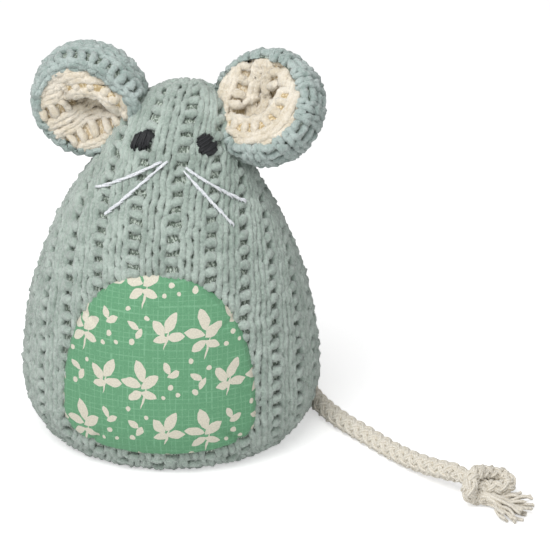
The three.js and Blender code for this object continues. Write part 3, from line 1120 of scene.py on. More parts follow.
@dataclass(frozen=True)
class PatchOutline:
    """The belly patch's outline, seen from the front, in millimetres.

    Each half of it is two curves that meet at its widest, with handles that are shares of its size.

    Attributes:
        half_width: how far it reaches to each side.
        waist: the height at which it is widest.
        bottom: the height of its lowest point.
        top: the height of its highest point.
        bottom_handle: how far its bottom is drawn out.
        corner_handle: how far its lower corner is drawn out and up.
        side_handle: how far its side is drawn up.
        top_handle: how far its top is drawn out.
        middle_drop: how far below the middle of its upper half it is measured from.
    """

    half_width: float = 26.0
    waist: float = 18.0
    bottom: float = 6.4
    top: float = 56.2
    bottom_handle: float = 0.84
    corner_handle: Pair = (1.02, 0.22)
    side_handle: float = 0.61
    top_handle: float = 0.65
    middle_drop: float = 4.0

    @cached_property
    def points(self) -> Array:
        """The outline's points, anticlockwise from the bottom."""
        wide = self.half_width
        rise = self.top - self.waist
        drop = self.waist - self.bottom
        lower = [
            (0, self.bottom),
            (self.bottom_handle * wide, self.bottom),
            (self.corner_handle[0] * wide, self.bottom + self.corner_handle[1] * drop),
            (wide, self.waist),
        ]
        upper = [
            (wide, self.waist),
            (wide, self.waist + self.side_handle * rise),
            (self.top_handle * wide, self.top),
            (0, self.top),
        ]
        half = []
        for bezier in (lower, upper):
            a, b, c, d = np.array(bezier, float)
            t = np.linspace(0, 1, CURVE_STEPS, endpoint=False)[:, None]
            half.append(a * (1 - t) ** 3 + 3 * b * t * (1 - t) ** 2 + 3 * c * t**2 * (1 - t) + d * t**3)
        right = np.vstack([*half, [(0, self.top)]])
        left = right[-2:0:-1] * [-1, 1]
        return np.vstack([right, left])

    @property
    def middle(self) -> Pair:
        """A point that sees the whole outline."""
        return (0.0, (self.waist + self.top) / 2 - self.middle_drop)

    def reach(self, angle: Array) -> Array:
        """How far the outline is from the middle, in a direction."""
        spokes = self.points - self.middle
        turns = np.unwrap(np.arctan2(spokes[:, 1], spokes[:, 0]))
        order = np.argsort(turns)
        lengths = np.hypot(spokes[:, 0], spokes[:, 1])
        return np.interp(angle, turns[order], lengths[order], period=FULL_TURN)

    def outside(self, x: Array, z: Array) -> Array:
        """How far places are outside the outline, or inside where negative."""
        places = np.stack([x, z], axis=-1)[:, None, :]
        starts = self.points[None]
        spans = np.roll(self.points, -1, axis=0)[None] - starts
        share = np.clip(((places - starts) * spans).sum(-1) / (spans**2).sum(-1), 0, 1)
        nearest = np.linalg.norm(places - starts - share[..., None] * spans, axis=-1).min(axis=1)
        spokes = np.stack([x, z], axis=-1) - self.middle
        inside = np.hypot(spokes[:, 0], spokes[:, 1]) < self.reach(np.arctan2(spokes[:, 1], spokes[:, 0]))
        return np.where(inside, -nearest, nearest)


OUTLINE = PatchOutline()


# Stage


@dataclass(frozen=True)
class Lamp:
    """A soft square lamp, with sizes in millimetres.

    Attributes:
        name: the lamp's name.
        place: where it hangs.
        size: its width.
        power: its power in watts.
    """

    name: str
    place: Point
    size: float
    power: float

    def hang(self, aim: Point) -> None:
        """Hang the lamp and point it.

        Args:
            aim: the point that it shines at.
        """
        data = bpy.data.lights.new(self.name, "AREA")
        data.size = self.size * MM
        data.energy = self.power
        lamp = bpy.data.objects.new(self.name, data)
        lamp.location = Vector(self.place) * MM
        lamp.rotation_euler = (Vector(self.place) - Vector(aim)).to_track_quat("Z", "Y").to_euler()
        bpy.context.scene.collection.objects.link(lamp)


@dataclass(frozen=True)
class Stage:
    """The camera, floor and lights, with sizes in millimetres and degrees.

    Attributes:
        turn: how far the camera stands to the right of straight ahead.
        height: how steeply it looks down.
        distance: how far it stands from its aim.
        aim: the point that it looks at.
        focal: its focal length in pixels of the image.
        image: the image's width in pixels.
        sensor: the width of the camera's sensor.
        floor: the floor's half width.
        floor_colour: the floor's colour.
        floor_glow: how much light the camera sees the floor give off.
        ambient: how much light comes from all round.
        lamps: the lamps.
    """

    turn: float = 4.8
    height: float = 25.0
    distance: float = 800.0
    aim: Point = (27.856, 1.169, 43.499)
    focal: float = 3015.45
    image: float = 550.0
    sensor: float = 36.0
    floor: float = 4000.0
    floor_colour: str = "ebebeb"
    floor_glow: float = 0.5
    ambient: float = 0.34
    lamps: Tuple[Lamp, ...] = (
        Lamp("key", (-450, -500, 700), 500, 2.0),
        Lamp("fill", (600, -500, 350), 600, 0.5),
        Lamp("top", (-60, -290, 560), 420, 2.3),
        Lamp("low", (-40, -520, 30), 300, 0.4),
    )

    def camera(self) -> None:
        """Set the camera up."""
        turn, height = radians(self.turn), radians(self.height)
        level = cos(height)
        away = Vector((level * sin(turn), -level * cos(turn), sin(height)))
        data = bpy.data.cameras.new("camera")
        data.sensor_width = self.sensor
        data.lens = self.focal / self.image * self.sensor
        camera = bpy.data.objects.new("camera", data)
        camera.location = (Vector(self.aim) + away * self.distance) * MM
        camera.rotation_euler = away.to_track_quat("Z", "Y").to_euler()
        bpy.context.scene.collection.objects.link(camera)
        bpy.context.scene.camera = camera
        LOG.info("camera: %.1f mm lens", data.lens)

    def lay_floor(self) -> None:
        """Lay a pale floor that keeps the shadow."""
        mesh = bmesh.new()
        bmesh.ops.create_grid(mesh, x_segments=1, y_segments=1, size=self.floor * MM)
        data = mesh_data(mesh, "floor")
        material = bpy.data.materials.new("pale floor")
        material.use_nodes = True
        tree = material.node_tree
        tree.nodes.clear()
        plain = add_node(tree, "BsdfDiffuse", {"Color": linear(self.floor_colour)})
        seen = add_node(tree, "LightPath").outputs["Is Camera Ray"]
        glow = add_node(tree, "Emission", {"Color": (*[self.floor_glow] * 3, 1), "Strength": seen})
        both = add_node(tree, "AddShader", {0: plain.outputs[0], 1: glow.outputs[0]})
        add_node(tree, "OutputMaterial", {"Surface": both.outputs[0]})
        data.materials.append(material)
        floor = bpy.data.objects.new("floor", data)
        bpy.context.scene.collection.objects.link(floor)

    def light(self) -> None:
        """Light the mouse softly, most from the upper left and above, with a white background."""
        world = bpy.data.worlds.new("studio")
        world.use_nodes = True
        tree = world.node_tree
        tree.nodes.clear()
        rays = add_node(tree, "LightPath")
        seen = rays.outputs["Is Camera Ray"]
        for kind in ("Is Glossy Ray", "Is Transmission Ray"):
            either = add_node(tree, "Math", {0: seen, 1: rays.outputs[kind]}, operation="MAXIMUM")
            seen = either.outputs[0]
        strength = add_node(tree, "MapRange", {"Value": seen, "To Min": self.ambient, "To Max": 1.0})
        glow = add_node(tree, "Background", {"Color": (1, 1, 1, 1), "Strength": strength.outputs[0]})
        add_node(tree, "OutputWorld", {"Surface": glow.outputs[0]})
        bpy.context.scene.world = world
        for lamp in self.lamps:
            lamp.hang(self.aim)
        bpy.context.scene.view_settings.view_transform = "Standard"

    def build(self) -> None:
        """Set up the camera, the floor and the lights."""
        self.camera()
        self.lay_floor()
        self.light()


# Tail


@dataclass(frozen=True)
class Braid:
    """A round braid of plied strands, in millimetres.

    Attributes:
        radius: the rope's radius.
        strands: how many strands go round each way.
        pitch: the length of one turn.
        ply: how many yarns lie side by side in a strand.
        yarn: a yarn's radius, as a share of the rope's.
        over: how far strands go over and under, as a share of the rope's radius.
        core_gap: how far inside the strands the core stays, in yarn radii.
        ply_spacing: how far apart a strand's yarns lie, in yarn radii.
        ply_rise: how far its middle yarn stands out, in yarn radii.
        ruffle: how far a yarn's surface wanders.
    """

    radius: float = 2.6
    strands: int = 4
    pitch: float = 15.0
    ply: int = 3
    yarn: float = 0.165
    over: float = 0.13
    core_gap: float = 0.3
    ply_spacing: float = 1.6
    ply_rise: float = 0.7
    ruffle: float = 0.04

    def along(self, path: Array) -> Yarn:
        """Braid a rope along a path.

        Args:
            path: evenly spaced samples of the rope's middle.

        Returns:
            The rope's yarn.
        """
        yarn_radius = self.radius * self.yarn
        over = self.radius * self.over
        middle = self.radius - yarn_radius - over
        yarn = Yarn(yarn_radius, sides=6, ruffle=self.ruffle)
        side, up = route_frames(path)
        phase = FULL_TURN * run_along(path) / self.pitch
        weave = over * np.cos(self.strands * phase)
        yarn.add(path, np.full(len(path), (middle - yarn_radius * self.core_gap) / yarn_radius))
        for way in (-1, 1):
            for strand in range(self.strands):
                start = FULL_TURN * strand / self.strands
                for ply in range(self.ply):
                    aside = ply - (self.ply - 1) / 2
                    angle = way * phase + start + aside * yarn_radius * self.ply_spacing / middle
                    rise = (0.5 - abs(aside)) * yarn_radius * self.ply_rise
                    reach = (middle + way * weave + rise)[:, None]
                    points = path + reach * (np.cos(angle)[:, None] * side + np.sin(angle)[:, None] * up)
                    yarn.add(points, np.ones(len(points)))
        return yarn


@dataclass(frozen=True)
class Fray:
    """Loose yarns that fan out in clumps from a rope's end and lie down, in millimetres.

    Attributes:
        length: how far they reach.
        spread: the angle of their fan, in degrees.
        yarns: how many there are.
        clump: how many keep together.
        radius: a yarn's radius.
        root: how far out in the rope they start, as a share.
        stray: how far a yarn strays in the fan, as a share.
        reaches: the least and the most that one reaches, as shares.
        waves: the least and the most that one waves.
        lowest: how high a clump's lowest yarn lies.
        lying: how much higher the next one lies.
        seed: picks how they stray.
    """

    length: float = 11.0
    spread: float = 90.0
    yarns: int = 30
    clump: int = 3
    radius: float = 0.5
    root: float = 0.85
    stray: float = 0.04
    reaches: Pair = (0.75, 1.1)
    waves: Pair = (0.3, 0.8)
    lowest: float = 0.5
    lying: float = 1.0
    seed: int = 7

    def beyond(self, end: Array, heading: Array, rope_radius: float) -> Yarn:
        """Fan the yarns out past a rope's end.

        Args:
            end: where the rope ends.
            heading: the way that it points there along the table.
            rope_radius: the rope's radius.

        Returns:
            The loose yarns.
        """
        dice = random.Random(self.seed)
        across = np.array([-heading[1], heading[0], 0])
        yarn = Yarn(self.radius, sides=6, ruffle=0.06)
        for count in range(self.yarns):
            clump = count // self.clump
            share = (clump + 0.5) / (self.yarns // self.clump) - 0.5 + dice.uniform(-self.stray, self.stray)
            fan = radians(self.spread * share)
            ring = count * 2.4
            out = rope_radius * sqrt(dice.random()) * self.root
            start = end + out * (cos(ring) * across + sin(ring) * np.array([0, 0, 1]))
            reach = self.length * dice.uniform(*self.reaches)
            way = cos(fan) * heading + sin(fan) * across
            level = self.lowest + self.lying * (count % self.clump) + dice.uniform(0, 0.3)
            wave = dice.uniform(*self.waves)
            points = []
            for step in np.linspace(-0.15, 1, 15):
                bent = heading + (way - heading) * min(1, max(0, step * 2))
                curl = wave * sin(7 * step + 2.1 * clump) * max(step, 0)
                at = start + bent * reach * step + across * curl
                drop = float(smooth(np.array(step * 1.25)))
                bob = 0.5 * wave * sin(9 * step + clump) * drop
                height = start[2] * (1 - drop) + level * drop + bob
                points.append((at[0], at[1], max(height, self.radius + 0.05)))
            yarn.add(np.array(points), np.linspace(1.05, 0.85, len(points)))
        return yarn


@dataclass(frozen=True)
class Tail:
    """The rope tail: sewn through the back seam, lying on the table, knotted and frayed at its end.

    Sizes are in millimetres.

    Attributes:
        root: where the rope leaves the body.
        route: the points that its middle goes through after that.
        knot_route: the knot's route from the rope's end: along it, across it, and up from the table.
        knot_start: how far past the rope's end that route starts.
        tight: the tighter braid of the knot.
        loose: the loose yarns past the knot.
        bend: the way across its first length; rope() works it out in metres and leaves it unused.
        lead: how far the rope goes on into the seam.
        anchor_inset: how far inside the seam its hidden end stops.
        anchor_depth: how far in that end goes from there.
        stopper: the radius of the knot in it, and how far that lies above the root.
        stopper_yarn: how far inside that radius the yarn's middle is.
        braid: the rope's braid.
        step: how far apart the rope's samples are.
    """

    root: Point = (0.0, 36.473, 5.0)
    route: Tuple[Point, ...] = (
        (0.0, 44.8, 4.2), (2.0, 52.2, 3.2), (7.3, 57.5, 2.7), (14.5, 59.4, 2.7), (21.7, 57.4, 2.7),
        (27.1, 52.2, 2.7), (29.6, 43.6, 2.7), (31.3, 35.0, 2.7), (32.9, 25.8, 2.7),
        (35.4, 16.5, 2.7), (39.6, 7.0, 2.7), (45.8, -2.0, 2.7), (53.9, -11.0, 2.7),
        (62.0, -19.8, 2.7), (69.8, -27.9, 3.9), (77.9, -35.3, 6.0),
    )
    knot_route: Tuple[Point, ...] = (
        (0.0, 0.0, 6.1), (2.4, 0.3, 5.7), (4.6, 0.5, 5.2), (6.8, 2.6, 4.4), (8.8, 5.7, 4.2),
        (9.0, 7.3, 4.3), (7.9, 8.6, 4.6), (6.3, 8.8, 5.0), (5.0, 7.7, 5.6), (3.8, 3.5, 7.3),
        (4.2, -0.2, 8.4), (5.1, -2.7, 6.9), (5.2, -3.1, 4.4), (4.9, -1.3, 2.5), (6.4, 0.5, 2.4),
        (7.9, 1.1, 2.5),
    )
    knot_start: float = 2.5
    tight: Braid = Braid(radius=2.2, pitch=12.5)
    loose: Fray = Fray()
    bend: Tuple[Point, Point] = ((0.0, 36.0, 5.0), (7.4, 41.2, 5.0))
    lead: float = 2.4
    anchor_inset: float = 2.9
    anchor_depth: float = 9.0
    stopper: float = 4.0
    stopper_yarn: float = 0.9
    braid: Braid = Braid()
    step: float = 0.6

    @property
    def heading(self) -> Array:
        """The way that the rope's end points along the table."""
        last = np.array(self.route[-1]) - np.array(self.route[-2])
        return unit(last * [1, 1, 0])

    def from_end(self, place: Point) -> Point:
        """A place of the knot's route, in the mouse's frame."""
        across = np.array([-self.heading[1], self.heading[0], 0])
        at = np.array(self.route[-1]) + self.heading * (place[0] + self.knot_start) + across * place[1]
        return (at[0], at[1], place[2])

    def rope(self) -> Piece:
        """The free rope.

        Returns:
            The piece.
        """
        path = smooth_route([self.root, *self.route], self.step)
        lead = path[0] - unit(path[1] - path[0]) * np.arange(self.lead, 0, -self.step)[:, None]
        rope = self.braid.along(np.vstack([lead, path])).piece("tail_braid", ROPE)
        start, end = (tuple(np.array(p) * MM) for p in self.bend)
        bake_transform(rope)
        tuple(start)
        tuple(end)
        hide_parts("tail_rope")
        return rope

    def knot(self) -> Piece:
        """The overhand knot.

        Returns:
            The piece.
        """
        path = smooth_route([self.route[-1], *map(self.from_end, self.knot_route)], step=0.5)
        knot = self.tight.along(path).piece("tail_tied_knot", ROPE)
        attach(knot, "tail")
        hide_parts("tail_knot")
        return knot

    def fray(self) -> Piece:
        """The loose yarns past the knot, which fan out and lie down.

        Returns:
            The piece.
        """
        path = smooth_route([self.from_end(p) for p in self.knot_route], step=0.5)
        heading = unit((path[-1] - path[-4]) * [1, 1, 0])
        yarn = self.loose.beyond(path[-1], heading, self.tight.radius)
        fray = yarn.piece("tail_tassel", ROPE)
        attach(fray, "tail")
        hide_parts("tail_fray")
        return fray

    def stub(self) -> None:
        """The end of the rope inside the body, with the stopper knot that holds it."""
        exit_y = self.root[1] - self.anchor_inset
        inner = (0.0, exit_y - self.anchor_depth, self.root[2] + self.stopper)
        middle = (0.0, exit_y - self.anchor_depth / 2, self.root[2] + self.stopper * 0.3)
        outer = (0.0, exit_y - 0.3, self.root[2])
        yarn = self.braid.along(smooth_route([inner, middle, outer], step=0.8))
        winds = np.linspace(0, 5 * FULL_TURN, 110)
        tall = np.linspace(-1, 1, len(winds))
        wide = self.stopper - self.stopper_yarn
        ring = np.sqrt(np.clip(1 - tall**2, 0.1, 1)) * wide
        ball = np.column_stack([ring * np.cos(winds), tall * wide, ring * np.sin(winds)])
        yarn.add(np.array(inner) + ball, np.full(len(winds), 1.7))
        stub = yarn.piece("tail_stub", ROPE)
        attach(stub, "root")
        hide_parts("tail_anchor")

    def build(self) -> None:
        """Make the tail: the rope, the knot, the loose yarns and the hidden end."""
        rope, knot, fray = self.rope(), self.knot(), self.fray()
        self.stub()
        path = smooth_route([self.root, *self.route], step=2.0)
        tuple(x * MM for x in self.root)


# Body


@dataclass(frozen=True)
class Body:
    """The stuffed bag: a front, a back and a base of ladder knit, and the filling.

    Sizes are in millimetres.

    Attributes:
        gauge: how the bag is knitted.
        widest: the mean radius that its panels are cut for.
        ladder_at: where one of a panel's ladders is.
        fuller: how much fatter the yarn is at the sides, as a share.
        spare: how far a panel goes past the seams and the crown.
        hem_spare: how far it goes past the hem.
        patch_gap: how far it stays off the patch.
        margin: how much more is knitted and then cut off.
        net_depth: how deep the ground net lies.
        net_thickness: how thick it is.
        fibre_depth: how deep the fibre lies.
        fibre_lump: how far its lumps stand out.
        fibre_lumps: how close together they are, round it and up it.
        crumb: how deep the herb's crumbs are, as a share.
        fill: how much of its pocket the herb fills, as a share.
    """

    gauge: Gauge = Gauge()
    widest: float = 38.5
    ladder_at: float = 3.8
    fuller: float = 0.3
    spare: float = 0.5
    hem_spare: float = 0.3
    patch_gap: float = 0.2
    margin: float = 1.0
    net_depth: float = 1.5
    net_thickness: float = 0.3
    fibre_depth: float = 3.6
    fibre_lump: float = 0.5
    fibre_lumps: Pair = (9.0, 14.0)
    crumb: float = 0.05
    fill: float = 0.97

    def dress(self, piece: Piece, *nodes: str) -> None:
        """Fix a piece to the body.

        Args:
            piece: the piece.
            nodes: the solids that it stands for.
        """
        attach(piece, "root")
        if nodes:
            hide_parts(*nodes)

    def side_panel(self, name: str, front: bool) -> None:
        """Knit the front or the back of the bag.

        Args:
            name: the name that its pieces start with.
            front: whether it is the front, which the belly patch opens.
        """

        def place(across: Array, up: Array, lift: Array) -> Array:
            """Points off the panel."""
            turn = across / FORM.girth(up)
            return FORM.place(turn if front else pi + turn, up, lift)

        def room(across: Array, up: Array) -> Array:
            """How far places are inside the panel's seams."""
            seam = (pi / 2 - np.abs(across / FORM.girth(up))) * FORM.girth(up)
            ends = np.minimum(up - FORM.hem_arc + self.hem_spare, FORM.crown_arc + self.spare - up)
            edge = np.minimum(seam + self.spare, ends)
            if front:
                seen = place(across, up, np.zeros(len(up)))
                edge = np.minimum(edge, OUTLINE.outside(seen[:, 0], seen[:, 2]) - self.patch_gap)
            return edge

        panel = KnitPanel(
            self.gauge,
            reach=pi / 2 * self.widest,
            low=FORM.hem_arc - self.margin,
            high=FORM.crown_arc + 2 * self.margin,
            place=place,
            room=room,
            ladder_at=self.ladder_at,
            seed=3 if front else 11,
            fuller=self.fuller,
        )
        knit = panel.knit().piece(f"{name}_knit", SAGE)
        self.dress(knit, f"body_{name}")

        def lay(across: Array, up: Array) -> Array:
            """Points on the net behind the panel."""
            turn = (across - 0.5) * pi + (0 if front else pi)
            arc = FORM.hem_arc + up * (FORM.crown_arc - FORM.hem_arc)
            return FORM.place(turn, arc, np.full(len(up), -self.net_depth))

        net = closed_sheet(grid_mesh(48, 56, lay), self.net_thickness)
        self.dress(finish_piece(net, f"{name}_net", SAGE_NET))

    def base(self) -> None:
        """Knit the flat base, up to the hem."""
        disc = FORM.outline[0][0]

        def place(across: Array, up: Array, lift: Array) -> Array:
            """Points off the base."""
            return FORM.place(np.arctan2(across, -up), np.hypot(across, up) - disc, lift)

        def room(across: Array, up: Array) -> Array:
            """How far places are inside the hem."""
            return FORM.hem_arc + self.hem_spare - (np.hypot(across, up) - disc)

        reach = disc + FORM.hem_arc + self.margin
        panel = KnitPanel(self.gauge, reach, -reach, reach, place, room, seed=17)
        knit = panel.knit().piece("base_knit", SAGE)
        self.dress(knit, "base_panel")

        def lay(across: Array, up: Array) -> Array:
            """Points on the net behind the base."""
            arc = up * (disc + FORM.hem_arc) - disc
            return FORM.place((0.5 - across) * FULL_TURN, arc, np.full(len(up), -self.net_depth))

        net = closed_sheet(grid_mesh(64, 24, lay), self.net_thickness)
        self.dress(finish_piece(net, "base_net", SAGE_NET))

    def filling(self) -> None:
        """The fibre that fills the bag and the herb in the middle of it."""
        under = FORM.table[0, 0]

        def fibre(across: Array, up: Array) -> Array:
            """Points on the outside of the fibre."""
            turn = across * NEAR_TURN
            round_it, up_it = self.fibre_lumps
            spots = zip(round_it * np.sin(turn), round_it * np.cos(turn), up * up_it)
            lumps = self.fibre_lump * np.array([noise.noise(spot) for spot in spots])
            arc = under + up * (FORM.crown_arc - under)
            return FORM.place(across * FULL_TURN, arc, lumps - self.fibre_depth)

        mesh = grid_mesh(64, 72, fibre)
        close_seams(mesh)
        stuffing = finish_piece(mesh_data(mesh, "fibre"), "fibre_stuffing", FIBRE)
        self.dress(stuffing, "stuffing")

        low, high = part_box("catnip_fill")
        mesh = bmesh.new()
        bmesh.ops.create_icosphere(mesh, subdivisions=4, radius=1.0)
        middle, half = (low + high) / 2, (high - low) / 2
        for vertex in mesh.verts:
            way = vertex.co.normalized()
            crumb = 1 - self.crumb * abs(noise.noise(way * 9))
            square = 1 / max(abs(way.z), hypot(way.x, way.y)) ** 0.6
            at = Vector((way.x * half.x, way.y * half.y, way.z * half.z))
            vertex.co = middle + at * crumb * square * self.fill
        self.dress(finish_piece(mesh_data(mesh, "herb"), "herb_core", HERB), "catnip_fill")

    def build(self) -> None:
        """Make the whole bag."""
        self.side_panel("front", True)
        self.side_panel("back", False)
        self.base()
        self.filling()


@dataclass(frozen=True)
class BellyPatch:
    """The printed cotton patch, sewn into the front with a gathered edge. Sizes are in millimetres.

    Attributes:
        grain: how many faces it has each way.
        thickness: how thick the cloth is.
        tuck: how deep its edge is drawn in.
        crown: how far its middle swells.
        border: how wide the rounded edge is, as a share of its reach.
        puckers: how many gathers there are round it.
        pucker_depth: how deep they are.
        pucker_waves: the waves that add up to them, as shares of the gathers.
        pucker_start: where they start and how fast they deepen, as shares of the reach.
        pucker_end: where the seam flattens them and how fast, likewise.
        folds: where each deeper fold is, in radians, and how deep.
        fold_width: how wide the folds are.
        fold_start: where they start and how fast they deepen, likewise.
        seed: picks how the gathers vary.
    """

    grain: int = 110
    thickness: float = 0.4
    tuck: float = 1.1
    crown: float = 0.1
    border: float = 0.08
    puckers: int = 46
    pucker_depth: float = 0.35
    pucker_waves: Tuple[float, ...] = (0.31, 0.55, 0.8, 1)
    pucker_start: Pair = (0.62, 0.38)
    pucker_end: Pair = (0.96, 0.04)
    folds: Tuple[Pair, ...] = ((-2.2, 1.0), (-0.83, 0.9), (0.5, 0.5), (2.6, 0.5))
    fold_width: float = 0.75
    fold_start: Pair = (0.7, 0.2)
    seed: int = 5

    def build(self) -> None:
        """Make the patch."""
        dice = random.Random(self.seed)
        waves = []
        for share in self.pucker_waves:
            waves.append((round(self.puckers * share), dice.uniform(0, NEAR_TURN), dice.uniform(0.4, 1)))

        def lay(across: Array, up: Array) -> Array:
            """Points on the gathered cloth."""
            u, v = 2 * across - 1, 2 * up - 1
            x = u * np.sqrt(1 - v * v / 2)
            y = v * np.sqrt(1 - u * u / 2)
            share, angle = np.hypot(x, y), np.arctan2(y, x)
            reach = OUTLINE.reach(angle)
            gather = np.zeros(len(x))
            for count, phase, size in waves:
                gather += size * np.sin(count * angle + phase)
            started, ended, folded = (
                smooth((share - start) / width)
                for start, width in (self.pucker_start, self.pucker_end, self.fold_start)
            )
            edge = smooth((share - 1 + self.border) / self.border)
            lift = self.crown - (self.tuck + self.crown) * edge**2
            lift -= self.pucker_depth * started * (0.5 + 0.5 * gather / len(waves)) * (1 - ended)
            for place, depth in self.folds:
                off = np.angle(np.exp(1j * (angle - place))) * reach * share
                lift -= depth * np.exp(-((off / self.fold_width) ** 2)) * folded
            seen_x = OUTLINE.middle[0] + np.cos(angle) * reach * share
            seen_z = OUTLINE.middle[1] + np.sin(angle) * reach * share
            return FORM.front(seen_x, seen_z, lift)

        mesh = grid_mesh(self.grain, self.grain, lay)
        cloth = mesh.loops.layers.uv.new("cloth")
        for face in mesh.faces:
            for loop in face.loops:
                at = loop.vert.co / MM
                arc = FORM.arc_at(at.z)
                loop[cloth].uv = (FORM.girth(arc) * atan2(at.x, -at.y), float(arc))
        area = sum(face.calc_area() for face in mesh.faces)
        patch = finish_piece(closed_sheet(mesh, self.thickness), "belly_cotton", PRINT)
        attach(patch, "root")
        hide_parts("belly_patch")
        LOG.info("belly patch: %.0f square millimetres", area * 1e6)


# Ears


@dataclass(frozen=True)
class Ear:
    """A cupped ear: a round back of ladder knit, and a lining that is folded into a pocket.

    Sizes are in millimetres and degrees. Turns in the mouth run from its right, anticlockwise as the camera
    sees it.

    Attributes:
        side: which side it is on.
        root_height: the height that it is sewn on at.
        root_turn: how far forward of the side it is sewn on.
        sink: how far it is set into the head.
        mouth_turn: how far its mouth turns to the right.
        mouth_lift: how far its mouth looks up.
        lip: how far the lining's edge is from the middle of the mouth, at every eighth of a turn.
        lining_turn: the way that the lining's wales run.
        lining_ladder: where one of its ladders is.
        pocket: the middle of the pocket, across and up from the middle of the mouth.
        pocket_reach: how far the pocket's edge is from its middle.
        roll_turn: the side on which the lining rolls over the pocket.
        roll_span: how far the roll goes to each side of there.
        roll_ladder: where the roll's ladder is.
        outline: the back's reach and height, from inside the lip round to the middle of the back.
        grain: which way the back's ribs run.
        back_ladder: where the back's first ladder is: how far from the lip, or how far round.
        gauge: how the back is knitted.
        lining_gauge: how the lining is knitted.
        roll_gauge: how its roll is.
        rounds: how many courses go round the lip, if its ribs do.
        spokes: how many ribs there are, if they run out from it.
        disc: how far the plain middle of the back reaches.
        radius: the ear's outer radius.
        lining_rise: how far forward the lining lies.
        rim: how far it dips to its edge, from where and how fast.
        wall: how far inside the radius the lining and its net end.
        lip_spare: how far they go on past the lip.
        pocket_depth: how deep the pocket is.
        pocket_slope: where its plain side starts and ends.
        roll_radius: the roll's radius.
        roll_rise: how far its crest stands out.
        roll_ease: the angle in which the side under it turns plain.
        roll_taper: the angle in which it thins out to its ends.
        roll_thin: how thick its ends are, as a share.
        roll_width: how far to each side its knit is laid.
        roll_over: how far over it the knit goes, in radii.
        roll_net: how wide its net is and how far back it starts, in radii.
        lap: how far other layers overlap.
        head_spare: how far the knit goes into the head.
        hold: how far in and out of the head two points lie; sew_on works them out and leaves them unused.
        net_depth: how deep the nets lie.
        roll_net_depth: how deep the roll's net lies.
        net_thickness: how thick the nets are.
    """

    side: Side
    root_height: float
    root_turn: float
    sink: float
    mouth_turn: float
    mouth_lift: float
    lip: Tuple[float, ...]
    lining_turn: float
    lining_ladder: float
    pocket: Pair
    pocket_reach: float
    roll_turn: float
    roll_span: float
    roll_ladder: float
    grain: Grain
    back_ladder: float
    gauge: Gauge
    lining_gauge: Gauge
    roll_gauge: Gauge
    radius: float = 15.6
    outline: Tuple[Pair, ...] = (
        (7.4, 6.0), (9.0, 6.7), (11.0, 7.3), (13.2, 7.2), (14.8, 5.8), (15.5, 3.2), (15.6, 0.2),
        (15.1, -2.8), (13.5, -5.5), (11.0, -7.8), (7.8, -9.5), (4.0, -10.6), (0.0, -11.0),
    )
    rounds: int = 28
    spokes: int = 9
    disc: float = 12.0
    lining_rise: float = 6.3
    rim: Tuple[float, float, float] = (1.2, 0.88, 0.2)
    wall: Pair = (2.2, 2.4)
    lip_spare: Pair = (0.4, 1.2)
    pocket_depth: float = 5.0
    pocket_slope: Pair = (-2.0, 9.5)
    roll_radius: float = 2.4
    roll_rise: float = 1.3
    roll_ease: float = 40.0
    roll_taper: float = 30.0
    roll_thin: float = 0.75
    roll_width: float = 8.5
    roll_over: float = 2.5
    roll_net: Pair = (3.6, 1.1)
    lap: float = 0.6
    head_spare: float = 0.2
    hold: Pair = (0.5, 8.0)
    net_depth: float = 1.6
    roll_net_depth: float = 0.9
    net_thickness: float = 0.3

    @property
    def name(self) -> str:
        """The name of the side."""
        return self.side.name.lower()

    @cached_property
    def frame(self) -> Dict[str, Array]:
        """The ear's root, its middle, the way out from the head, and the mouth's own axes."""
        turn = np.array(self.side.value * radians(90 - self.root_turn))
        arc = FORM.arc_at(np.array(self.root_height))
        root = FORM.place(turn, arc, np.array(0.0))
        out = FORM.place(turn, arc, np.array(1.0)) - root
        lift, aside = radians(self.mouth_lift), radians(self.mouth_turn)
        level = cos(lift)
        mouth = np.array([sin(aside) * level, -cos(aside) * level, sin(lift)])
        right = unit(np.cross((0.0, 0.0, 1.0), mouth))
        return {
            "root": root,
            "out": out,
            "centre": root + out * (self.radius - self.sink),
            "mouth": mouth,
            "right": right,
            "up": np.cross(mouth, right),
        }

    @cached_property
    def profile(self) -> Array:
        """Arc, reach, height and outward normal of close samples of the back's outline."""
        step = 0.25
        drawn = smooth_route([(reach, 0.0, height) for reach, height in self.outline], step)
        along = unit(np.gradient(drawn, axis=0))
        return np.column_stack([run_along(drawn), drawn[:, 0], drawn[:, 2], -along[:, 2], along[:, 0]])

    def lip_reach(self, turn: Array) -> Array:
        """How far the lining's edge is from the middle of the mouth, at a turn."""
        eighths = np.arange(len(self.lip)) * FULL_TURN / len(self.lip)
        return np.interp(turn, eighths, self.lip, period=FULL_TURN)

    def lip_arc(self, turn: Array) -> Array:
        """The arc of the back's outline at which the lining's edge is."""
        rising = self.profile[: int(np.argmax(self.profile[:, 1])) + 1]
        return np.interp(self.lip_reach(turn), rising[:, 1], rising[:, 0])

    def back_place(self, arc: Array, turn: Array, lift: Array) -> Array:
        """Points off the ear's back.

        Args:
            arc: how far along its outline.
            turn: how far round the mouth, in radians.
            lift: how far off the surface.

        Returns:
            The points, one row each.
        """
        arcs, *columns = self.profile.T
        reach, rise, out, ahead = (np.interp(arc, arcs, column) for column in columns)
        around = np.cos(turn)[:, None] * self.frame["right"] + np.sin(turn)[:, None] * self.frame["up"]
        wide = (reach + out * lift)[:, None] * around
        return self.frame["centre"] + wide + (rise + ahead * lift)[:, None] * self.frame["mouth"]

    def round_pocket(self, x: Array, y: Array) -> Two:
        """How far places are from the middle of the pocket, and how far round it from the roll's middle."""
        dx, dy = x - self.pocket[0], y - self.pocket[1]
        turn = np.arctan2(dy, dx) - radians(self.roll_turn)
        return np.hypot(dx, dy), np.abs(np.angle(np.exp(1j * turn)))

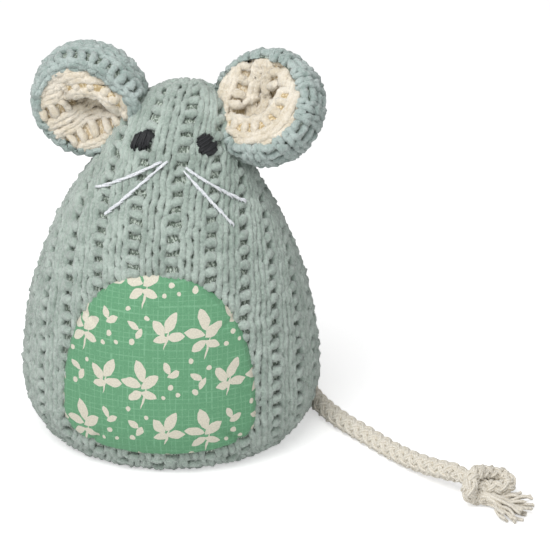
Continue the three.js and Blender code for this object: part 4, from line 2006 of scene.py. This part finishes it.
    def lining_height(self, x: Array, y: Array) -> Array:
        """How far the lining is in front of the middle of the cup.

        Args:
            x: how far right of the middle of the mouth.
            y: how far up.

        Returns:
            The heights.
        """
        reach, aside = self.round_pocket(x, y)
        wide = radians(self.roll_span + self.roll_ease / 2)
        steep = smooth((wide - aside) / radians(self.roll_ease))
        start, end = self.pocket_slope
        inner = start + steep * (self.pocket_reach + self.roll_radius - start)
        outer = end + steep * (self.pocket_reach + 2 * self.roll_radius - end)
        deep = 1 - smooth((reach - inner) / (outer - inner))
        return self.lining_rise - self.pocket_depth * deep - self.rim_drop(x, y)

    def rim_drop(self, x: Array, y: Array) -> Array:
        """How far the lining dips to its edge at places across and up the mouth."""
        depth, start, width = self.rim
        share = np.hypot(x, y) / self.lip_reach(np.arctan2(y, x))
        return depth * smooth((share - start) / width)

    def lining_place(self, x: Array, y: Array, lift: Array) -> Array:
        """Points off the lining, at places across and up the mouth."""
        step = 0.2
        rise = self.lining_height(x, y)
        slope_x = (self.lining_height(x + step, y) - self.lining_height(x - step, y)) / (2 * step)
        slope_y = (self.lining_height(x, y + step) - self.lining_height(x, y - step)) / (2 * step)
        right, up, mouth = self.frame["right"], self.frame["up"], self.frame["mouth"]
        normal = unit(mouth - slope_x[:, None] * right - slope_y[:, None] * up)
        flat = self.frame["centre"] + x[:, None] * right + y[:, None] * up
        return flat + rise[:, None] * mouth + normal * lift[:, None]

    def over_roll(self, across: Array, up: Array, lift: Array) -> Tuple[Array, ...]:
        """Places on the roll that hangs over the pocket.

        Args:
            across: how far over it, from its crest towards the pocket.
            up: how far along it, from its middle.
            lift: how far off its surface.

        Returns:
            How far right of the middle of the mouth, how far up and how far in front they are.
        """
        ring = self.pocket_reach + self.roll_radius
        angle = up / ring
        full = smooth((radians(self.roll_span) - np.abs(angle)) / radians(self.roll_taper))
        thick = self.roll_radius * (self.roll_thin + (1 - self.roll_thin) * full)
        over = np.clip(across, 0, None) / self.roll_radius
        reach = ring + np.clip(-across, 0, None) - (thick + lift) * np.sin(over)
        turn = radians(self.roll_turn) + angle
        x, y = self.pocket[0] + reach * np.cos(turn), self.pocket[1] + reach * np.sin(turn)
        crest = self.lining_rise + self.roll_rise * full - self.rim_drop(x, y)
        return x, y, crest - thick + (thick + lift) * np.cos(over)

    def sew_on(self, piece: Piece, *nodes: str) -> None:
        """Bake a piece's place into its mesh, and hide the solids that it stands for.

        Args:
            piece: the piece.
            nodes: the solids that it stands for.
        """
        root, out = self.frame["root"], self.frame["out"]
        start, end = (root - out * self.hold[0]) * MM, (root + out * self.hold[1]) * MM
        f"ear_{self.name}"
        tuple(start)
        tuple(end)
        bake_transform(piece)
        if nodes:
            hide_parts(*nodes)

    def band(self) -> KnitPanel:
        """The knit from the lip to the middle of the back.

        Returns:
            The panel.
        """
        whole = float(self.profile[-1, 0])
        deep = whole - self.disc
        spokes = self.grain is Grain.SPOKES
        girth = self.spokes * self.gauge.repeat if spokes else self.rounds * self.gauge.course

        def find(across: Array, up: Array) -> Two:
            """The arc and the turn of places in the knit."""
            down, along = (up, across) if spokes else (across, up)
            turn = along * FULL_TURN / girth
            return self.lip_arc(turn) + down, turn

        def place(across: Array, up: Array, lift: Array) -> Array:
            """Points off the band."""
            return self.back_place(*find(across, up), lift)

        def room(across: Array, up: Array) -> Array:
            """How far places are inside the band's edges and outside the head."""
            arc, turn = find(across, up)
            points = self.back_place(arc, turn, np.zeros(len(up)))
            edge = np.minimum(arc - self.lip_arc(turn), deep - arc)
            return np.minimum(edge, FORM.clearance(points) + self.head_spare)

        if spokes:
            reach, low, high = girth / 2, 0.8, deep
        else:
            # A little over a course short of the whole round, so that no course lies on the first
            reach, low, high = deep, -girth / 2, girth / 2 - 1.01 * self.gauge.course
        return KnitPanel(self.gauge, reach, low, high, place, room, self.back_ladder, seed=23, sink=0.5)

    def back(self) -> None:
        """Knit the ear's back: a band from the lip, and a plain disc in the middle."""
        whole = float(self.profile[-1, 0])

        def place_disc(across: Array, up: Array, lift: Array) -> Array:
            """Points off the disc."""
            return self.back_place(whole - np.hypot(across, up), np.arctan2(up, across), lift)

        def room_disc(across: Array, up: Array) -> Array:
            """How far places are inside the disc's edge and outside the head."""
            clear = FORM.clearance(place_disc(across, up, np.zeros(len(up)))) + self.head_spare
            return np.minimum(self.disc + self.lap - np.hypot(across, up), clear)

        span = self.disc + 2
        disc = KnitPanel(self.gauge, span, -span, span, place_disc, room_disc, ladder_at=2.0, seed=29)
        yarn = self.band().knit()
        yarn.join(disc.knit())
        knit = yarn.piece(f"{self.name}_ear_knit", EAR_SAGE)
        self.sew_on(knit, f"ear_{self.name}_back")

        def lay(across: Array, up: Array) -> Array:
            """Points on the net behind the back."""
            turn = across * FULL_TURN
            start = self.lip_arc(turn) - self.lap
            return self.back_place(start + up * (whole - start), turn, np.full(len(up), -self.net_depth))

        net = closed_sheet(grid_mesh(56, 36, lay), self.net_thickness)
        self.sew_on(finish_piece(net, f"{self.name}_ear_net", EAR_NET))

    def lining(self) -> None:
        """Knit the lining: plain ribs in the pocket, and a roll that is knitted round it."""
        turn = radians(self.lining_turn - 90)
        along = radians(self.roll_span) * (self.pocket_reach + self.roll_radius)

        def under_roll(x: Array, y: Array) -> Array:
            """How far places are in under the roll."""
            reach, aside = self.round_pocket(x, y)
            inner = reach - self.pocket_reach - 0.8 * self.roll_radius
            ends = radians(self.roll_span - 8) - aside
            return np.minimum(inner, ends * self.pocket_reach)

        def lip_at(around: Array, layer: int) -> Array:
            """How far from the middle of the mouth the lining (0) or its net (1) ends."""
            most = self.radius - self.wall[layer]
            return np.minimum(self.lip_reach(around) + self.lip_spare[layer], most)

        def edge(x: Array, y: Array, points: Array) -> Array:
            """How far places are inside the lip, and points outside the head."""
            rim = lip_at(np.arctan2(y, x), 0) - np.hypot(x, y)
            return np.minimum(rim, FORM.clearance(points) + self.head_spare)

        def flat(across: Array, up: Array) -> Two:
            """Where places in the lining's knit are, across and up the mouth."""
            return (across * cos(turn) - up * sin(turn), across * sin(turn) + up * cos(turn))

        def place_flat(across: Array, up: Array, lift: Array) -> Array:
            """Points off the lining."""
            return self.lining_place(*flat(across, up), lift)

        def room_flat(across: Array, up: Array) -> Array:
            """How far places are inside the lining's edge."""
            x, y = flat(across, up)
            return np.minimum(edge(x, y, self.lining_place(x, y, np.zeros(len(x)))), -under_roll(x, y))

        def place_roll(across: Array, up: Array, lift: Array) -> Array:
            """Points off the roll."""
            x, y, rise = self.over_roll(across, up, lift)
            axes = np.stack([self.frame["right"], self.frame["up"], self.frame["mouth"]])
            return self.frame["centre"] + np.column_stack([x, y, rise]) @ axes

        def room_roll(across: Array, up: Array) -> Array:
            """How far places are inside the roll's edge."""
            flush = np.zeros(len(up))
            x, y, _ = self.over_roll(across, up, flush)
            hem = np.minimum(along - np.abs(up), self.roll_over * self.roll_radius - across)
            return np.minimum(edge(x, y, place_roll(across, up, flush)) - self.lap, hem)

        span = max(self.lip) + 2
        panels = (
            (self.lining_gauge, span, -span, span, place_flat, room_flat, self.lining_ladder, 31),
            (self.roll_gauge, self.roll_width, -along, along, place_roll, room_roll, self.roll_ladder, 37),
        )
        pocket, roll = (KnitPanel(*panel, sink=0.8).knit() for panel in panels)
        pocket.join(roll)
        knit = pocket.piece(f"{self.name}_ear_lining", CREAM)
        self.sew_on(knit, f"ear_{self.name}_lining")

        def lay(across: Array, up: Array) -> Array:
            """Points on the net behind the lining."""
            around = across * FULL_TURN
            reach = up * lip_at(around, 1)
            x, y = reach * np.cos(around), reach * np.sin(around)
            return self.lining_place(x, y, np.full(len(x), -self.net_depth))

        def lay_roll(across: Array, up: Array) -> Array:
            """Points on the net behind the roll."""
            over = (self.roll_net[0] * across - self.roll_net[1]) * self.roll_radius
            return place_roll(over, (2 * up - 1) * (along - 1), np.full(len(up), -self.roll_net_depth))

        net = closed_sheet(grid_mesh(64, 28, lay), self.net_thickness)
        self.sew_on(finish_piece(net, f"{self.name}_ear_lining_net", CREAM_NET))
        # The roll's net takes the darker rolled net colours, which are painted shade
        net = closed_sheet(grid_mesh(16, 32, lay_roll), self.net_thickness)
        self.sew_on(finish_piece(net, f"{self.name}_ear_roll_net", SHADED_ROLL_NET))

    def build(self) -> None:
        """Make the ear."""
        self.back()
        self.lining()


# Face


@dataclass(frozen=True)
class Eye:
    """An eye of black satin stitches, placed by the front view, in millimetres and degrees.

    Attributes:
        side: which side it is on.
        x: how far right its middle is.
        z: its middle's height.
        half_width: its half width along its own long side.
        half_height: its half height.
        tilt: how far it is turned.
        stitch_turn: the way that its stitches run.
        point: how pointed it is, from 1 for a diamond to 2 for an oval.
        thread: the thread's radius.
        spacing: how far apart the stitches are.
        layers: how high each layer of them lies.
        tuft: how many stitches share their ragged ends.
        ragged: the least and the most that such ends stick out.
        stray: how far an end strays from there.
        skew: how far it strays aside.
        bob: how far a stitch's height varies.
        dive: how deep its ends go in.
    """

    side: Side
    x: float
    z: float
    half_width: float
    half_height: float
    tilt: float
    stitch_turn: float
    point: float = 1.5
    thread: float = 0.27
    spacing: float = 0.4
    layers: Tuple[float, ...] = (0.25, 0.55)
    tuft: int = 3
    ragged: Pair = (-0.5, 0.8)
    stray: float = 0.35
    skew: float = 0.12
    bob: float = 0.16
    dive: float = 1.5

    def inside(self, x: Array, z: Array) -> Array:
        """Whether places to the right of its middle and up from it are in the eye."""
        tilt = radians(self.tilt)
        u = x * cos(tilt) + z * sin(tilt)
        v = -x * sin(tilt) + z * cos(tilt)
        return np.abs(u / self.half_width) ** self.point + np.abs(v / self.half_height) ** self.point < 1

    def build(self) -> None:
        """Stitch the eye."""
        dice = random.Random(self.side.value + 40)
        yarn = Yarn(self.thread, sides=6)
        run = radians(self.stitch_turn)
        reach = max(self.half_width, self.half_height)
        line = np.linspace(-reach * 1.2, reach * 1.2, 61)
        share = np.linspace(-1, 1, 11)
        ragged = [0.0, 0.0]

        def turned(along: Array, aside: Array) -> Two:
            """Where places along and beside a stitch are, to the right and up."""
            return (along * cos(run) - aside * sin(run), along * sin(run) + aside * cos(run))

        for layer, height in enumerate(self.layers):
            rows = np.arange(-reach, reach + 0.01, self.spacing) + layer * self.spacing / 2
            for count, offset in enumerate(rows):
                if count % self.tuft == layer:
                    ragged = [dice.uniform(*self.ragged), dice.uniform(*self.ragged)]
                sewn = line[self.inside(*turned(line, offset))]
                if len(sewn) < 6:
                    continue
                first = sewn[0] - ragged[0] + dice.uniform(-self.stray, self.stray)
                last = sewn[-1] + ragged[1] + dice.uniform(-self.stray, self.stray)
                skew = dice.uniform(-self.skew, self.skew) * share
                x, z = turned(np.linspace(first, last, len(share)), offset + skew)
                lift = height - self.dive * share**8 + dice.uniform(-self.bob, self.bob)
                yarn.add(FORM.front(self.x + x, self.z + z, lift), np.ones(len(share)))
        eye = yarn.piece(f"{self.side.name.lower()}_eye_stitches", BLACK)
        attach(eye, "root")
        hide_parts(f"eye_{self.side.name.lower()}")


@dataclass(frozen=True)
class Whisker:
    """A whisker of overlapping white stitches, placed by the front view, in millimetres.

    Attributes:
        name: its solid's name without the leading word.
        start: its end by the nose, to the right and up.
        end: its other end.
        thread: the thread's radius.
        stitch: a stitch's length.
        lengths: the least and the most of it, as shares.
        overlap: how many stitches lie side by side.
        lanes: how far aside each of its threads lies.
        slope: how far it crosses over.
        stray: how far it strays aside.
        rise: how far its middle stands out.
        bob: how far that varies.
        swell: how fat its ends are, and how much fatter its middle.
    """

    name: str
    start: Pair
    end: Pair
    thread: float = 0.17
    stitch: float = 2.6
    lengths: Pair = (0.9, 1.15)
    overlap: float = 2.6
    lanes: Tuple[float, ...] = (-0.1, 0.1)
    slope: float = 0.26
    stray: float = 0.1
    rise: float = 0.55
    bob: float = 0.12
    swell: Pair = (0.75, 0.35)

    def build(self) -> None:
        """Stitch the whisker."""
        dice = random.Random(self.name)
        start, end = np.array(self.start), np.array(self.end)
        length = float(np.linalg.norm(end - start))
        way = (end - start) / length
        aside = np.array([-way[1], way[0]])
        yarn = Yarn(self.thread, sides=6)
        share = np.linspace(0, 1, 8)
        arch = np.sin(pi * share)
        for first in np.arange(-0.3, length - 0.8, self.stitch / self.overlap):
            last = min(first + self.stitch * dice.uniform(*self.lengths), length + 0.2)
            for lane in self.lanes:
                off = lane + (0.5 - share) * self.slope + dice.uniform(-self.stray, self.stray)
                seen = start + np.outer(first + (last - first) * share, way) + np.outer(off, aside)
                lift = self.rise * arch**0.6 + dice.uniform(-self.bob, self.bob)
                yarn.add(FORM.front(seen[:, 0], seen[:, 1], lift), self.swell[0] + self.swell[1] * arch)
        whisker = yarn.piece(f"{self.name}_whisker_stitches", WHITE)
        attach(whisker, "root")
        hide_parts(f"whisker_{self.name}")


EARS = (
    Ear(
        Side.LEFT,
        root_height=87.25,
        root_turn=-5,
        sink=6.5,
        mouth_turn=-5,
        mouth_lift=-6,
        lip=(12.2, 8.0, 10.3, 12.9, 13.5, 14.1, 14.4, 13.4),
        lining_turn=27,
        lining_ladder=7.2,
        pocket=(0.5, -2.5),
        pocket_reach=5.0,
        roll_turn=74,
        roll_span=65,
        roll_ladder=-1.6,
        grain=Grain.ROUND,
        back_ladder=5.9,
        gauge=Gauge(
            course=3.4, wale=3.5, ladder=3.8, yarn=0.8, loop_waist=0.7, loop_depth=0.6,
            loop_swell=0.14, rung_rise=0.9,
        ),
        lining_gauge=Gauge(
            course=3.4, wale=2.8, ladder=3.6, yarn=0.95, loop_waist=0.25, loop_depth=0.1, rung_swell=1.1
        ),
        roll_gauge=Gauge(
            course=3.0, wale=3.4, ladder=1.3, yarn=1.15, loop_waist=0.2, loop_depth=0.08,
            rung_rise=0.1, rung_swell=1.25,
        ),
    ),
    Ear(
        Side.RIGHT,
        root_height=86.25,
        root_turn=0,
        sink=6.0,
        mouth_turn=-26,
        mouth_lift=36,
        lip=(11.4, 11.2, 11.9, 13.9, 14.4, 12.0, 12.0, 11.9),
        lining_turn=90,
        lining_ladder=1.4,
        pocket=(-2.5, 1.5),
        pocket_reach=5.8,
        roll_turn=-50,
        roll_span=76,
        roll_ladder=-0.6,
        grain=Grain.SPOKES,
        back_ladder=5.0,
        gauge=Gauge(
            course=3.6, wale=3.2, ladder=2.8, yarn=0.8, loop_waist=0.6, loop_depth=0.4, loop_swell=0.12
        ),
        lining_gauge=Gauge(
            course=3.4, wale=3.0, ladder=2.5, yarn=1.0, loop_waist=0.2, loop_pinch=0.25,
            loop_depth=0.08, rung_swell=1.25,
        ),
        roll_gauge=Gauge(
            course=2.9, wale=3.1, ladder=3.0, yarn=1.0, loop_waist=0.2, loop_depth=0.08, rung_rise=0.3,
            rung_swell=1.1,
        ),
    ),
)
EYES = (Eye(Side.LEFT, -5.2, 86.1, 3.2, 1.7, 28, 68), Eye(Side.RIGHT, 11.4, 85.2, 1.6, 3.1, 38, 28))
WHISKERS = (
    Whisker("left_upper", (-0.1, 81.9), (-17.3, 72.8)),
    Whisker("left_lower", (1.4, 82.0), (-14.2, 68.2)),
    Whisker("right_upper", (6.5, 80.4), (21.2, 69.8)),
    Whisker("right_lower", (6.0, 79.6), (18.7, 65.8)),
)


def main() -> None:
    """Build the mouse, piece by piece."""
    logging.basicConfig(level=logging.INFO, format="%(name)s: %(message)s")
    # Without a seed the rows would wander another way on every run
    noise.seed_set(NOISE_SEED)
    Stage().build()
    Tail().build()
    Body().build()
    BellyPatch().build()
    for ear in EARS:
        ear.build()
    for eye in EYES:
        eye.build()
    for whisker in WHISKERS:
        whisker.build()


if __name__ == "__main__":
    main()
